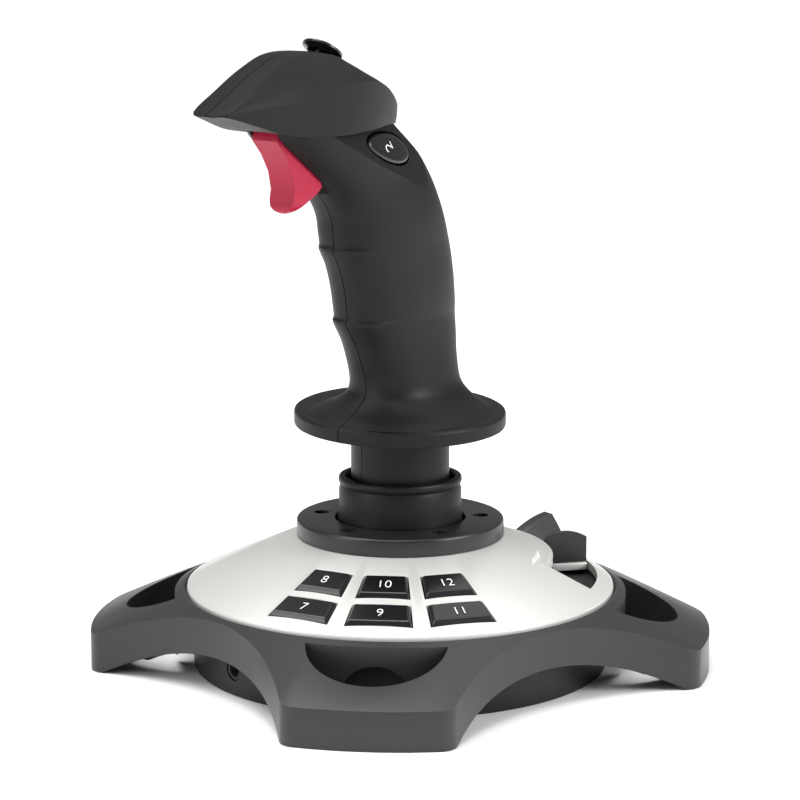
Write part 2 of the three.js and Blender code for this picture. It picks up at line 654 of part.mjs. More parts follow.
// Along the head: forward, top, its half width, side crease, its half width, lower lip.
const HEAD_STATIONS = [
  [11.5, 183, 5, 182.5, 7.5, 180.3], [15, 187.5, 7, 186.5, 11, 180.5], [22, 193, 8, 191, 14.5, 180.7],
  [30, 197.5, 8, 194.5, 17.2, 180.4], [40, 202.8, 8, 196, 18.8, 180], [50, 204.6, 7.5, 195, 18.6, 179.7],
  [60, 203.8, 7, 192.4, 16.3, 180], [68, 200.8, 7, 190.9, 13.9, 181.1], [74, 198, 7, 190.4, 12.3, 182.5],
  [82, 193.6, 6.9, 189.8, 10, 185.1], [90, 189.2, 6.6, 188.6, 7.1, 187.6], [92.2, 188.2, 3, 188, 3.2, 187.7],
];

function headRing([y, top, topX, sideZ, sideX, lip], inset) {
  const keep = (w) => Math.max(w - inset, 0.4);
  const roof = top - inset;
  const floor = lip + inset;
  const lipX = sideX - Math.min(1.8, (sideZ - lip) * 0.15);
  const right = [
    [0, roof + 0.35], [keep(topX), roof], [keep(sideX), sideZ - inset * 0.6],
    [keep(lipX), floor + 0.05], [keep(lipX) * 0.7, floor],
    [0, floor],
  ];
  const left = right.slice(1, -1).reverse().map(([x, z]) => [-x, z]);
  return [...right, ...left].map(([x, z]) => [x, y, z]);
}

function headBody() {
  return loft(HEAD_STATIONS.map((row) => headRing(row, 0)));
}

function headRoom() {
  return loft(HEAD_STATIONS.slice(1, -3).map((row) => headRing(row, HEAD_WALL)));
}

const FACET_POINT = [-15.5, 16, 162.3];
const FACET_NORMAL = [-0.911, -0.178, 0.372];

// Everything on the outer side of the thumb facet, which is flat; deep moves it into the handle.
function facetTool(deep) {
  const point = FACET_POINT.map((v, k) => v - FACET_NORMAL[k] * deep);
  return aimed(block(-60, 60, -60, 60, 0, 60), point, FACET_NORMAL, [0, 1, 0]);
}

// The thumb button's outline: wide towards the user, narrow towards the head.
function eggPlan(grow) {
  const steps = 32;
  const points = [];
  for (let i = 0; i < steps; i++) {
    const a = (i / steps) * 2 * Math.PI;
    const short = (BUTTON_SHORT + grow) * Math.sin(a) * (1 + 0.16 * Math.cos(a));
    points.push(new THREE.Vector2((BUTTON_LONG + grow) * Math.cos(a), short));
  }
  return new THREE.Shape(points);
}

const onFacet = (made) => aimed(made, BUTTON_POINT, FACET_NORMAL, [0.1, -0.975, -0.2]);

function thumbButton() {
  return onFacet(add(prism(eggPlan(0), -3, 0.2), prism(eggPlan(-0.6), 0.1, 0.7)));
}

function thumbSwitch() {
  const top = -3 - BUTTON_TRAVEL - GAP;
  const plate = block(-3, 15, -3, 3, top - 3, top - 1.8);
  const leg = block(BUTTON_LONG + 1.6, 15, -3, 3, top - 2.4, -GRIP_WALL - 0.4);
  return onFacet(add(block(-3, 3, -3, 3, top - 3, top), plate, leg));
}

const TRIGGER_PIVOT = [0, 61, 182];
const TRIGGER_OUTLINE = [
  [66.1, 178.5], [62, 173.8], [58.8, 168.3], [57.5, 162.6], [58.7, 157.6], [58.2, 155.7], [56.6, 155.2], [51, 159],
  [47.2, 160.8], [44.8, 162.7], [45.5, 165], [52, 173], [57, 180], [58.6, 184], [62, 185], [64.5, 183], [65.6, 180.5],
];

// Stands a plan drawn in (y, z) upright and centres its thickness on x = 0.
function upright(points, width) {
  const shape = new THREE.Shape(points.map(([y, z]) => new THREE.Vector2(y, z)));
  const basis = new THREE.Matrix4().makeBasis(
    new THREE.Vector3(0, 1, 0), new THREE.Vector3(0, 0, 1), new THREE.Vector3(1, 0, 0));
  return placed(prism(shape, -width / 2, width / 2), basis);
}

function alongX(radius, x0, x1, y, z, segments = 16) {
  return aimed(disc(radius, x0, x1, segments), [0, y, z], [1, 0, 0], [0, 0, 1]);
}

function trigger() {
  const [, y, z] = TRIGGER_PIVOT;
  return cut(upright(TRIGGER_OUTLINE, TRIGGER_WIDTH), alongX(1.5 + GAP, -20, 20, y, z));
}

function triggerPin() {
  const [, y, z] = TRIGGER_PIVOT;
  return alongX(1.5, -TRIGGER_WIDTH / 2 - 3, TRIGGER_WIDTH / 2 + 3, y, z);
}

// The switch sits on a cross plate that reaches both shells.
function triggerSwitch() {
  return add(block(-3, 3, 34, 40, 164, 170), block(-10.6, 10.6, 33, 34.5, 164, 168));
}

function triggerSlot() {
  return upright([[74, 177], [58, 150], [41, 158.5], [41, 170], [52, 187.5], [68, 187.5]], TRIGGER_WIDTH + 2 * RUN);
}

const HAT_AXIS = [0, -Math.sin(rad(HAT_TILT_DEG)), Math.cos(rad(HAT_TILT_DEG))];
const HAT_BASE = [0, 39.6, 202.8];
const HAT_PIVOT_DEPTH = 5;
const HAT_WELL = 4.3;
const onHat = (made) => aimed(made, HAT_BASE, HAT_AXIS);

function hatCap() {
  const cap = lathe([
    [0, 1.6], [HAT_RADIUS - 0.6, 1.6], [HAT_RADIUS, 2.2], [HAT_RADIUS, 3.1], [HAT_RADIUS - 1.3, 3.4],
    [HAT_RADIUS - 1.3, 3.9], [HAT_RADIUS - 2.6, 4.2], [0, 4.4],
  ], 32);
  return onHat(add(cap, disc(2.3, -HAT_PIVOT_DEPTH - 1, 2.4, 20)));
}

function hatRocker() {
  return onHat(ring(2.6, 4.4, -HAT_PIVOT_DEPTH - 1.2, -HAT_PIVOT_DEPTH + 0.8, 24));
}

function hatSwitch() {
  return onHat(disc(4.6, -HAT_PIVOT_DEPTH - 5.4, -HAT_PIVOT_DEPTH - 1.9, 24));
}

// Two rows of buttons on the slope that faces the user: sideways, forward, height, lean back.
const TOP_BUTTONS = [
  [-4.3, 29, 197, 29], [4.3, 29, 197, 29], [-4.3, 20.4, 191.9, 35], [4.3, 20.4, 191.9, 35],
];

function onTop([x, y, z, lean], made) {
  return aimed(made, [x, y, z], [0, -Math.sin(rad(lean)), Math.cos(rad(lean))]);
}

function topButton(spot) {
  const r = TOP_BUTTON_RADIUS;
  return onTop(spot, lathe([[0, -3], [r, -3], [r, 0.7], [r - 0.5, 1.1], [0, 1.2]], 20));
}

const SCREW_HEAD_IN = 8.6; // sideways from the split to the underside of a handle screw's head

function handleShell(hand) {
  const shape = add(cut(handleBody(), facetTool(0)), headBody());
  const half = block(hand > 0 ? 0.15 : -60, hand > 0 ? 60 : -0.15, -60, 120, 60, 220);
  const posts = HANDLE_SCREWS.map(([y, z]) => alongX(4, Math.min(0, hand * 20), Math.max(0, hand * 20), y, z, 20));
  const room = cut(add(cut(handleRoom(), facetTool(GRIP_WALL)), headRoom()), ...posts);
  const [, py, pz] = TRIGGER_PIVOT;
  const openings = [
    triggerSlot(), alongX(1.5 + GAP, -TRIGGER_WIDTH / 2 - 3.3, TRIGGER_WIDTH / 2 + 3.3, py, pz),
    onHat(disc(HAT_WELL, -4.2, 6, 24)), onFacet(prism(eggPlan(RUN), -12, 6)),
    ...TOP_BUTTONS.map((spot) => onTop(spot, disc(TOP_BUTTON_RADIUS + GAP, -8, 6, 20))),
    disc(SPINDLE_RADIUS + GAP, 60, DISC_TOP + 2, 40),
    ...HANDLE_SCREWS.map(([y, z]) => alongX(1.5, -9, 30, y, z)),
    ...HANDLE_SCREWS.map(([y, z]) => alongX(2.7, SCREW_HEAD_IN, 30, y, z, 20)),
  ];
  return largest(cut(shape.intersect(half), room, ...openings));
}

function handleScrew([y, z]) {
  const head = alongX(2.4, SCREW_HEAD_IN + GAP, SCREW_HEAD_IN + 2.1, y, z, 20);
  const shank = alongX(1.2, -8, SCREW_HEAD_IN + 1, y, z);
  const drive = [block(SCREW_HEAD_IN + 1.2, 20, y - 0.4, y + 0.4, z - 1.5, z + 1.5)];
  drive.push(block(SCREW_HEAD_IN + 1.2, 20, y - 1.5, y + 1.5, z - 0.4, z + 0.4));
  return cut(add(head, shank), ...drive);
}

function twistSpindle() {
  const foot = PLATE_Z + PLATE_THICK + 4;
  const flange = DISC_TOP - 0.4;
  return lathe([
    [4, foot], [SPINDLE_RADIUS, foot], [SPINDLE_RADIUS, flange],
    [12.2, flange], [12.2, flange + 2.4], [4, flange + 2.4],
  ], 40);
}

function twistSensor() {
  const z = PLATE_Z + PLATE_THICK;
  return disc(8, z + GAP, z + 4 - GAP, 32);
}

function handleBoard() {
  return add(block(-0.8, 0.8, -19.2, 17.6, 110.8, 114), block(-0.8, 0.8, -11, 15, 113, 132));
}

// ---- assembly -----------------------------------------------------------------------------------
function buildBase() {
  node("base_frame", baseFrame(), FRAME_PLASTIC);
  node("bottom_housing", bottomHousing(), DARK_PLASTIC);
  node("cable_grommet", cableGrommet(), RUBBER);
  node("ballast_plate", ballastPlate(), STEEL);
  node("main_board", mainBoard(), BOARD);
  LEGS.forEach((leg, i) => node(`foot_pad_${i + 1}`, footPad(leg), RUBBER));
  node("dome_cover", domeCover(), SILVER_PAINT);
  node("gimbal_collar", gimbalCollar(), FRAME_PLASTIC);
  COLLAR_SCREW_AZIMUTHS.forEach((azimuth, i) => node(`collar_screw_${i + 1}`, collarScrew(azimuth), STEEL));
  node("key_mat", keySheet(MAT_DROP, MAT_THICK), RUBBER);
  node("key_board", keySheet(MAT_DROP - MAT_THICK - GAP, 1.4), BOARD);
  node("gimbal_post", gimbalPost(), ACETAL);
  node("pitch_sensor", tiltSensor(-90), DARK_PLASTIC);
  node("centring_spring", centringSpring(), STEEL);
}

function buildKeys() {
  eachKey((row, column) => node(`key_${KEY_LABELS[row][column]}`, keyCap(row, column), KEY_PLASTIC));
}

function buildThrottle() {
  node("throttle_track", throttleTrack(), DARK_PLASTIC);
  node("throttle_sensor", throttleSensor(), DARK_PLASTIC);
  node("throttle_slider", throttleSlider(), SILVER_PAINT);
  node("throttle_grip", throttleGrip(), FRAME_PLASTIC);
}

function buildStick() {
  node("gimbal_cross", gimbalCross(), STEEL);
  node("cuff", cuff(), GRIP_PLASTIC);
  node("neck", neck(), GRIP_PLASTIC);
  node("stick_fork", stickFork(), ACETAL);
  node("roll_sensor", tiltSensor(0), DARK_PLASTIC);
  node("twist_sensor", twistSensor(), DARK_PLASTIC);
}

function buildHandle() {
  const handle = new THREE.Group();
  handle.rotation.z = rad(TWIST_REST_DEG);
  part.add(handle);
  node("handle_left_shell", handleShell(-1), GRIP_PLASTIC, handle);
  node("handle_right_shell", handleShell(1), GRIP_PLASTIC, handle);
  node("twist_spindle", twistSpindle(), ACETAL, handle);
  node("handle_board", handleBoard(), BOARD, handle);
  HANDLE_SCREWS.forEach((spot, i) => node(`handle_screw_${i + 1}`, handleScrew(spot), STEEL, handle));
  node("trigger", trigger(), CRIMSON, handle);
  node("trigger_pin", triggerPin(), STEEL, handle);
  node("trigger_switch", triggerSwitch(), DARK_PLASTIC, handle);
  node("button_2", thumbButton(), KEY_PLASTIC, handle);
  node("button_2_switch", thumbSwitch(), DARK_PLASTIC, handle);
  node("hat_cap", hatCap(), KEY_PLASTIC, handle);
  node("hat_rocker", hatRocker(), ACETAL, handle);
  node("hat_switch", hatSwitch(), DARK_PLASTIC, handle);
  TOP_BUTTONS.forEach((spot, i) => node(`button_${i + 3}`, topButton(spot), KEY_PLASTIC, handle));
}

buildBase();
buildKeys();
buildThrottle();
buildStick();
buildHandle();

export default part;
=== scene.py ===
"""A twist-grip flight joystick on a pale studio floor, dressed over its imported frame.

Lengths are in metres in the frame's own axes: +Z up, +Y the user's forward, the stick's axis at x = y = 0.
The handle is modelled facing +Y and turned by HANDLE_TURN about the stick's axis.
"""

import logging
import math
from dataclasses import dataclass, field
from enum import Enum

import bpy
from mathutils import Matrix, Vector


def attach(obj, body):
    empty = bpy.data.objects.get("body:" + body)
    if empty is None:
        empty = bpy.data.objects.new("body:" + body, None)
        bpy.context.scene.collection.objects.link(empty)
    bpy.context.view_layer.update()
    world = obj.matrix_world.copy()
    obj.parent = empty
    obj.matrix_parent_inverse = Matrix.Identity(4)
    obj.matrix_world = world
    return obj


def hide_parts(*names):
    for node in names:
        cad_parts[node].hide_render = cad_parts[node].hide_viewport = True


logging.basicConfig(level=logging.INFO, format="%(message)s")
LOG = logging.getLogger("joystick")

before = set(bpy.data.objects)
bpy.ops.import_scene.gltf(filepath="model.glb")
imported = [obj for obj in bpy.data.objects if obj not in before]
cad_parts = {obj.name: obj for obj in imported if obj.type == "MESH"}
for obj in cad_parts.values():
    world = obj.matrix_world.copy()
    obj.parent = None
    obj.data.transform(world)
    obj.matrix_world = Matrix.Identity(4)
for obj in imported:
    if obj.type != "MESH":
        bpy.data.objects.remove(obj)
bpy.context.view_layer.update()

MM = 0.001
HANDLE_TURN = math.radians(12)
HANDLE_PLACE = Matrix.Rotation(HANDLE_TURN, 4, "Z")
FACET_NORMAL = (-0.911, -0.178, 0.372)
LEG_AZIMUTHS = (45, 135, 225, 315)
SHADER = "Principled BSDF"
GRAIN_LOW, GRAIN_HIGH = 0.3, 0.7
Point = tuple[float, float, float]
Spot = tuple[float, float]
Row = tuple[float, ...]
Piece = bpy.types.Object
Node = bpy.types.Node
Tree = bpy.types.NodeTree


# ---- finishes ------------------------------------------------------------------------------------


class Surface(Enum):
    """How a finish breaks up its surface."""

    MOULDED = "fine moulded grain"
    SATIN = "very fine satin"
    BRUSHED = "turned metal"
    PAINT = "metallic paint"


@dataclass(frozen=True)
class Finish:
    """One finish: its colour and gloss, and the break-up of its surface.

    Attributes:
        name: Material name.
        colour: Base colour, linear RGB.
        roughness: Mean roughness.
        surface: The kind of break-up.
        metallic: Metallic value.
        grain: Grain size in metres.
        bump: Grain height in metres.
        coat: Clear coat weight.
        speckle: Relative change of colour from the grain.
        specular: Specular level, 0.5 being an ordinary gloss.
    """

    name: str
    colour: tuple[float, float, float]
    roughness: float
    surface: Surface
    metallic: float = 0.0
    grain: float = 0.0005
    bump: float = 0.00002
    coat: float = 0.0
    speckle: float = 0.12
    specular: float = 0.5

    def material(self) -> bpy.types.Material:
        """Builds the material, or returns the one already built.

        Returns:
            The material, with object-space grain in colour, roughness and height.
        """
        known = bpy.data.materials.get(self.name)
        if known:
            return known
        made = bpy.data.materials.new(self.name)
        made.use_nodes = True
        tree = made.node_tree
        shader = tree.nodes[SHADER]
        shader.inputs["Metallic"].default_value = self.metallic
        shader.inputs["Coat Weight"].default_value = self.coat
        shader.inputs["Specular IOR Level"].default_value = self.specular
        shader.inputs["Coat Roughness"].default_value = 0.12
        place = tree.nodes.new("ShaderNodeTexCoord")
        stretch = tree.nodes.new("ShaderNodeMapping")
        tree.links.new(place.outputs["Object"], stretch.inputs["Vector"])
        if self.surface is Surface.BRUSHED:
            stretch.inputs["Scale"].default_value = (1.0, 1.0, 14.0)
        fine = self._noise(tree, stretch, 1 / self.grain, 3.0)
        broad = self._noise(tree, stretch, 22.0, 2.0)
        self._tint(tree, fine, broad)
        self._gloss(tree, fine, broad)
        self._relief(tree, fine)
        return made

    def _noise(self, tree: Tree, place: Node, scale: float, detail: float) -> Node:
        """Adds a noise texture, its scale in cells a metre, fed by a mapping node."""
        noise = tree.nodes.new("ShaderNodeTexNoise")
        noise.inputs["Scale"].default_value = scale
        noise.inputs["Detail"].default_value = detail
        tree.links.new(place.outputs["Vector"], noise.inputs["Vector"])
        return noise

    def _tint(self, tree: Tree, fine: Node, broad: Node) -> None:
        """Lets the grain and a broad drift change the base colour a little."""
        grade = tree.nodes.new("ShaderNodeValToRGB")
        low, high = 1 - self.speckle, 1 + self.speckle
        grade.color_ramp.elements[0].position = GRAIN_LOW
        grade.color_ramp.elements[1].position = GRAIN_HIGH
        grade.color_ramp.elements[0].color = (*[c * low for c in self.colour], 1)
        grade.color_ramp.elements[1].color = (*[min(c * high, 1) for c in self.colour], 1)
        blend = tree.nodes.new("ShaderNodeMath")
        blend.operation = "MULTIPLY_ADD"
        blend.inputs[1].default_value = 0.6
        share = tree.nodes.new("ShaderNodeMath")
        share.operation = "MULTIPLY"
        share.inputs[1].default_value = 0.4
        tree.links.new(broad.outputs["Fac"], share.inputs[0])
        tree.links.new(fine.outputs["Fac"], blend.inputs[0])
        tree.links.new(share.outputs["Value"], blend.inputs[2])
        tree.links.new(blend.outputs["Value"], grade.inputs["Fac"])
        tree.links.new(grade.outputs["Color"], tree.nodes[SHADER].inputs["Base Color"])

    def _gloss(self, tree: Tree, fine: Node, broad: Node) -> None:
        """Lets roughness wander about its mean, as handled plastic does."""
        spread = tree.nodes.new("ShaderNodeMapRange")
        spread.inputs["From Min"].default_value = GRAIN_LOW
        spread.inputs["From Max"].default_value = GRAIN_HIGH
        spread.inputs["To Min"].default_value = max(self.roughness - 0.05, 0.04)
        spread.inputs["To Max"].default_value = min(self.roughness + 0.06, 1.0)
        source = fine if self.surface in (Surface.BRUSHED, Surface.PAINT) else broad
        tree.links.new(source.outputs["Fac"], spread.inputs["Value"])
        tree.links.new(spread.outputs["Result"], tree.nodes[SHADER].inputs["Roughness"])

    def _relief(self, tree: Tree, fine: Node) -> None:
        """Raises the grain as a bump."""
        bump = tree.nodes.new("ShaderNodeBump")
        bump.inputs["Strength"].default_value = 0.5
        bump.inputs["Distance"].default_value = self.bump
        tree.links.new(fine.outputs["Fac"], bump.inputs["Height"])
        tree.links.new(bump.outputs["Normal"], tree.nodes[SHADER].inputs["Normal"])


GRIP_BLACK = Finish("grip_black", (0.006, 0.006, 0.0063), 0.48, Surface.MOULDED, bump=0.00003, specular=0.22)
FRAME_GREY = Finish("frame_grey", (0.024, 0.024, 0.025), 0.36, Surface.MOULDED, bump=0.000012, specular=0.42)
# The collar is the frame's plastic. Its darker colour is painted shade from the hand rest above it.
COLLAR_GREY_PAINTED_SHADE = Finish(
    "collar_grey_painted_shade", (0.013, 0.013, 0.0135), 0.33, Surface.MOULDED, bump=0.000012, specular=0.42
)
LEVER_GREY = Finish("lever_grey", (0.022, 0.022, 0.023), 0.42, Surface.MOULDED, bump=0.00002, specular=0.4)
TUB_BLACK = Finish("tub_black", (0.012, 0.012, 0.013), 0.5, Surface.MOULDED, specular=0.3)
COVER_SILVER = Finish(
    "cover_silver", (0.66, 0.66, 0.635), 0.42, Surface.PAINT,
    metallic=0.45, grain=0.00022, bump=0.000004, coat=0.3, speckle=0.04,
)
KEY_BLACK = Finish(
    "key_black", (0.006, 0.006, 0.007), 0.22, Surface.SATIN, coat=0.25, bump=0.000004, specular=0.4
)
TRIGGER_RED = Finish(
    "trigger_red", (0.34, 0.004, 0.03), 0.38, Surface.SATIN,
    coat=0.05, bump=0.000006, speckle=0.05, specular=0.3,
)
MARK_WHITE = Finish("mark_white", (0.85, 0.85, 0.84), 0.5, Surface.SATIN, bump=0.000003, speckle=0.03)
PAD_RUBBER = Finish("pad_rubber", (0.02, 0.02, 0.02), 0.8, Surface.MOULDED, grain=0.0008, bump=0.00006)
SPRING_STEEL = Finish(
    "spring_steel", (0.5, 0.5, 0.52), 0.28, Surface.BRUSHED, metallic=1.0, grain=0.0006, bump=0.000006
)
BOARD_GREEN = Finish("board_green", (0.02, 0.16, 0.07), 0.4, Surface.SATIN, coat=0.3)
ACETAL_WHITE = Finish("acetal_white", (0.7, 0.68, 0.62), 0.45, Surface.SATIN)


# ---- shaping tools -------------------------------------------------------------------------------


def choose(piece: Piece) -> None:
    """Makes a piece the only chosen one."""
    bpy.ops.object.select_all(action="DESELECT")
    piece.select_set(True)
    bpy.context.view_layer.objects.active = piece


def skin(name: str, rings: list[list[Point]]) -> Piece:
    """Shapes a grid primitive into a closed skin over rings of points.

    Args:
        name: The piece's name.
        rings: Rings in millimetres, each with the same count, in order along the piece.

    Returns:
        The piece, closed at both ends, its faces outward.
    """
    count = len(rings[0])
    bpy.ops.mesh.primitive_grid_add(x_subdivisions=count, y_subdivisions=len(rings) - 1, size=1)
    piece = bpy.context.object
    piece.name = name
    flat = [c * MM for ring in rings for point in (*ring, ring[0]) for c in point]
    piece.data.vertices.foreach_set("co", flat)
    piece.data.update()
    bpy.ops.object.mode_set(mode="EDIT")
    bpy.ops.mesh.select_all(action="SELECT")
    bpy.ops.mesh.remove_doubles(threshold=2e-6)
    bpy.ops.mesh.fill_holes(sides=0)
    bpy.ops.mesh.select_all(action="SELECT")
    bpy.ops.mesh.normals_make_consistent(inside=False)
    bpy.ops.object.mode_set(mode="OBJECT")
    return piece


def circle(radius: float, z: float, steps: int = 128) -> list[Point]:
    """Gives a ring of points about the stick's axis.

    Args:
        radius: Radius in millimetres.
        z: Height in millimetres.
        steps: How many points.

    Returns:
        The ring.
    """
    turns = (2 * math.pi * i / steps for i in range(steps))
    return [(radius * math.cos(a), radius * math.sin(a), z) for a in turns]


def lathe(name: str, profile: list[Spot], steps: int = 128) -> Piece:
    """Turns a profile about the stick's axis.

    Args:
        name: The piece's name.
        profile: Radius and height pairs in millimetres; closed when the last equals the first.
        steps: Facets round the axis.

    Returns:
        The piece.
    """
    return skin(name, [circle(max(r, 0.0005), z, steps) for r, z in profile])


def prism(name: str, outline: list[Spot], z0: float, z1: float) -> Piece:
    """Stands an outline up between two heights.

    Args:
        name: The piece's name.
        outline: Plan points in millimetres.
        z0: Lower height.
        z1: Upper height.

    Returns:
        The piece.
    """
    return skin(name, [[(x, y, z) for x, y in outline] for z in (z0, z1)])


def apply_modifier(piece: Piece, kind: str, **settings: object) -> None:
    """Adds a modifier, sets it and applies it.

    Args:
        piece: The piece.
        kind: The modifier's type.
        **settings: The modifier's properties.
    """
    choose(piece)
    modifier = piece.modifiers.new(kind.lower(), kind)
    for key, value in settings.items():
        setattr(modifier, key, value)
    bpy.ops.object.modifier_apply(modifier=modifier.name)


def carve(piece: Piece, *tools: Piece, how: str = "DIFFERENCE") -> Piece:
    """Cuts, joins or trims a piece with others and removes them.

    Args:
        piece: The piece that stays.
        *tools: The pieces that are used up.
        how: The boolean operation.

    Returns:
        The piece.
    """
    for tool in tools:
        apply_modifier(piece, "BOOLEAN", operation=how, object=tool, solver="EXACT")
        bpy.data.objects.remove(tool)
    return piece


def soften(piece: Piece, width: float, angle: float = 32, segments: int = 3) -> Piece:
    """Rounds a piece's sharp edges and shades it smooth between them.

    Args:
        piece: The piece.
        width: Bevel width in millimetres.
        angle: Edges sharper than this many degrees are rounded.
        segments: Facets across each rounded edge.

    Returns:
        The piece.
    """
    apply_modifier(piece, "BEVEL", width=width * MM, segments=segments, limit_method="ANGLE",
                   angle_limit=math.radians(angle), use_clamp_overlap=True)
    return smooth(piece, angle)


def flatten_normals(piece: Piece) -> Piece:
    """Keeps the large faces beside thin rounded creases looking flat."""
    smooth(piece, 60)
    apply_modifier(piece, "WEIGHTED_NORMAL", keep_sharp=True, weight=80)
    return piece


def smooth(piece: Piece, angle: float = 32) -> Piece:
    """Shades a piece smooth except over sharp edges.

    Args:
        piece: The piece.
        angle: Edges sharper than this many degrees stay sharp.

    Returns:
        The piece.
    """
    choose(piece)
    bpy.ops.object.shade_smooth_by_angle(angle=math.radians(angle))
    return piece


def place(piece: Piece, matrix: Matrix) -> Piece:
    """Moves a piece's own points, leaving the object at the origin.

    Args:
        piece: The piece.
        matrix: The move, its lengths in metres.

    Returns:
        The piece.
    """
    piece.data.transform(matrix)
    piece.data.update()
    return piece


def facing(point: Point, direction: Point, sideways: Point = (1, 0, 0)) -> Matrix:
    """Gives the move that takes +Z to a direction at a point.

    Args:
        point: Where the origin goes, in millimetres.
        direction: Where +Z goes.
        sideways: Where +X stays nearest to.

    Returns:
        The move, its lengths in metres.
    """
    up = Vector(direction).normalized()
    side = Vector(sideways)
    side = (side - up * side.dot(up)).normalized()
    third = up.cross(side)
    turn = Matrix((side, third, up)).transposed().to_4x4()
    return Matrix.Translation(Vector(point) * MM) @ turn


def along(leg: float, out: float, across: float) -> Spot:
    """Gives the plan point at a distance along a leg and to its side.

    Args:
        leg: The leg's azimuth in degrees.
        out: Distance from the stick's axis.
        across: Distance to the side.

    Returns:
        The plan point.
    """
    c, s = math.cos(math.radians(leg)), math.sin(math.radians(leg))
    return out * c - across * s, out * s + across * c


def arc(centre: Spot, radius: float, start: float, end: float, steps: int) -> list[Spot]:
    """Gives the points of an arc, its last one left out.

    Args:
        centre: Plan centre.
        radius: Radius.
        start: First angle in radians.
        end: Last angle in radians.
        steps: How many points.

    Returns:
        The points.
    """
    turns = (start + (end - start) * i / steps for i in range(steps))
    return [(centre[0] + radius * math.cos(a), centre[1] + radius * math.sin(a)) for a in turns]


def disc_outline(centre: Spot, radius: float, steps: int = 32) -> list[Spot]:
    """Gives a whole circle's outline about a plan point."""
    return arc(centre, radius, 0, 2 * math.pi, steps)


def core(name: str, radius: float, low: float, high: float, steps: int = 128) -> Piece:
    """Makes a plain cylinder about the stick's axis, to cut with."""
    return lathe(name, [(0, low), (radius, low), (radius, high), (0, high)], steps)


def sector(r0: float, r1: float, start: float, end: float, steps: int = 24) -> list[Spot]:
    """Gives the outline of a ring sector.

    Args:
        r0: Inner radius.
        r1: Outer radius.
        start: First azimuth in degrees.
        end: Last azimuth in degrees.
        steps: Facets along each arc.

    Returns:
        The outline.
    """
    a, b = math.radians(start), math.radians(end)
    outer = arc((0, 0), r1, a, b, steps) + [(r1 * math.cos(b), r1 * math.sin(b))]
    inner = arc((0, 0), r0, b, a, steps) + [(r0 * math.cos(a), r0 * math.sin(a))]
    return outer + inner


def finish_piece(
    piece: Piece, finish: Finish, body: str, slot: str, *nodes: str
) -> Piece:
    """Dresses a piece and ties it to the frame.

    Args:
        piece: The piece.
        finish: Its finish.
        body: The body it rides on.
        slot: The record's material slot; not used.
        *nodes: The frame's nodes that it stands for.

    Returns:
        The piece.
    """
    piece.data.materials.clear()
    piece.data.materials.append(finish.material())
    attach(piece, body)
    if nodes:
        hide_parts(*nodes)
    LOG.info("%s: %d faces, on %s", piece.name, len(piece.data.polygons), body)
    return piece


def label(
    name: str, text: str, height: float, matrix: Matrix, body: str, thick: float = 0.08
) -> Piece:
    """Makes a raised white number.

    Args:
        name: The piece's name.
        text: The digits.
        height: Their height in millimetres.
        matrix: Where they go, +Y up the digits.
        body: The body they ride on.
        thick: Their thickness in millimetres.

    Returns:
        The piece.
    """
    bpy.ops.object.text_add()
    words = bpy.context.object
    words.data.body = text
    words.data.size = height * MM / 0.7
    words.data.extrude = thick * MM / 2
    words.data.offset = -0.022 * height * MM
    words.data.align_x = "CENTER"
    words.data.align_y = "CENTER"
    choose(words)
    bpy.ops.object.convert(target="MESH")
    piece = bpy.context.object
    piece.name = name
    place(piece, matrix)
    return finish_piece(piece, MARK_WHITE, body, "key_plastic")


# ---- base ----------------------------------------------------------------------------------------


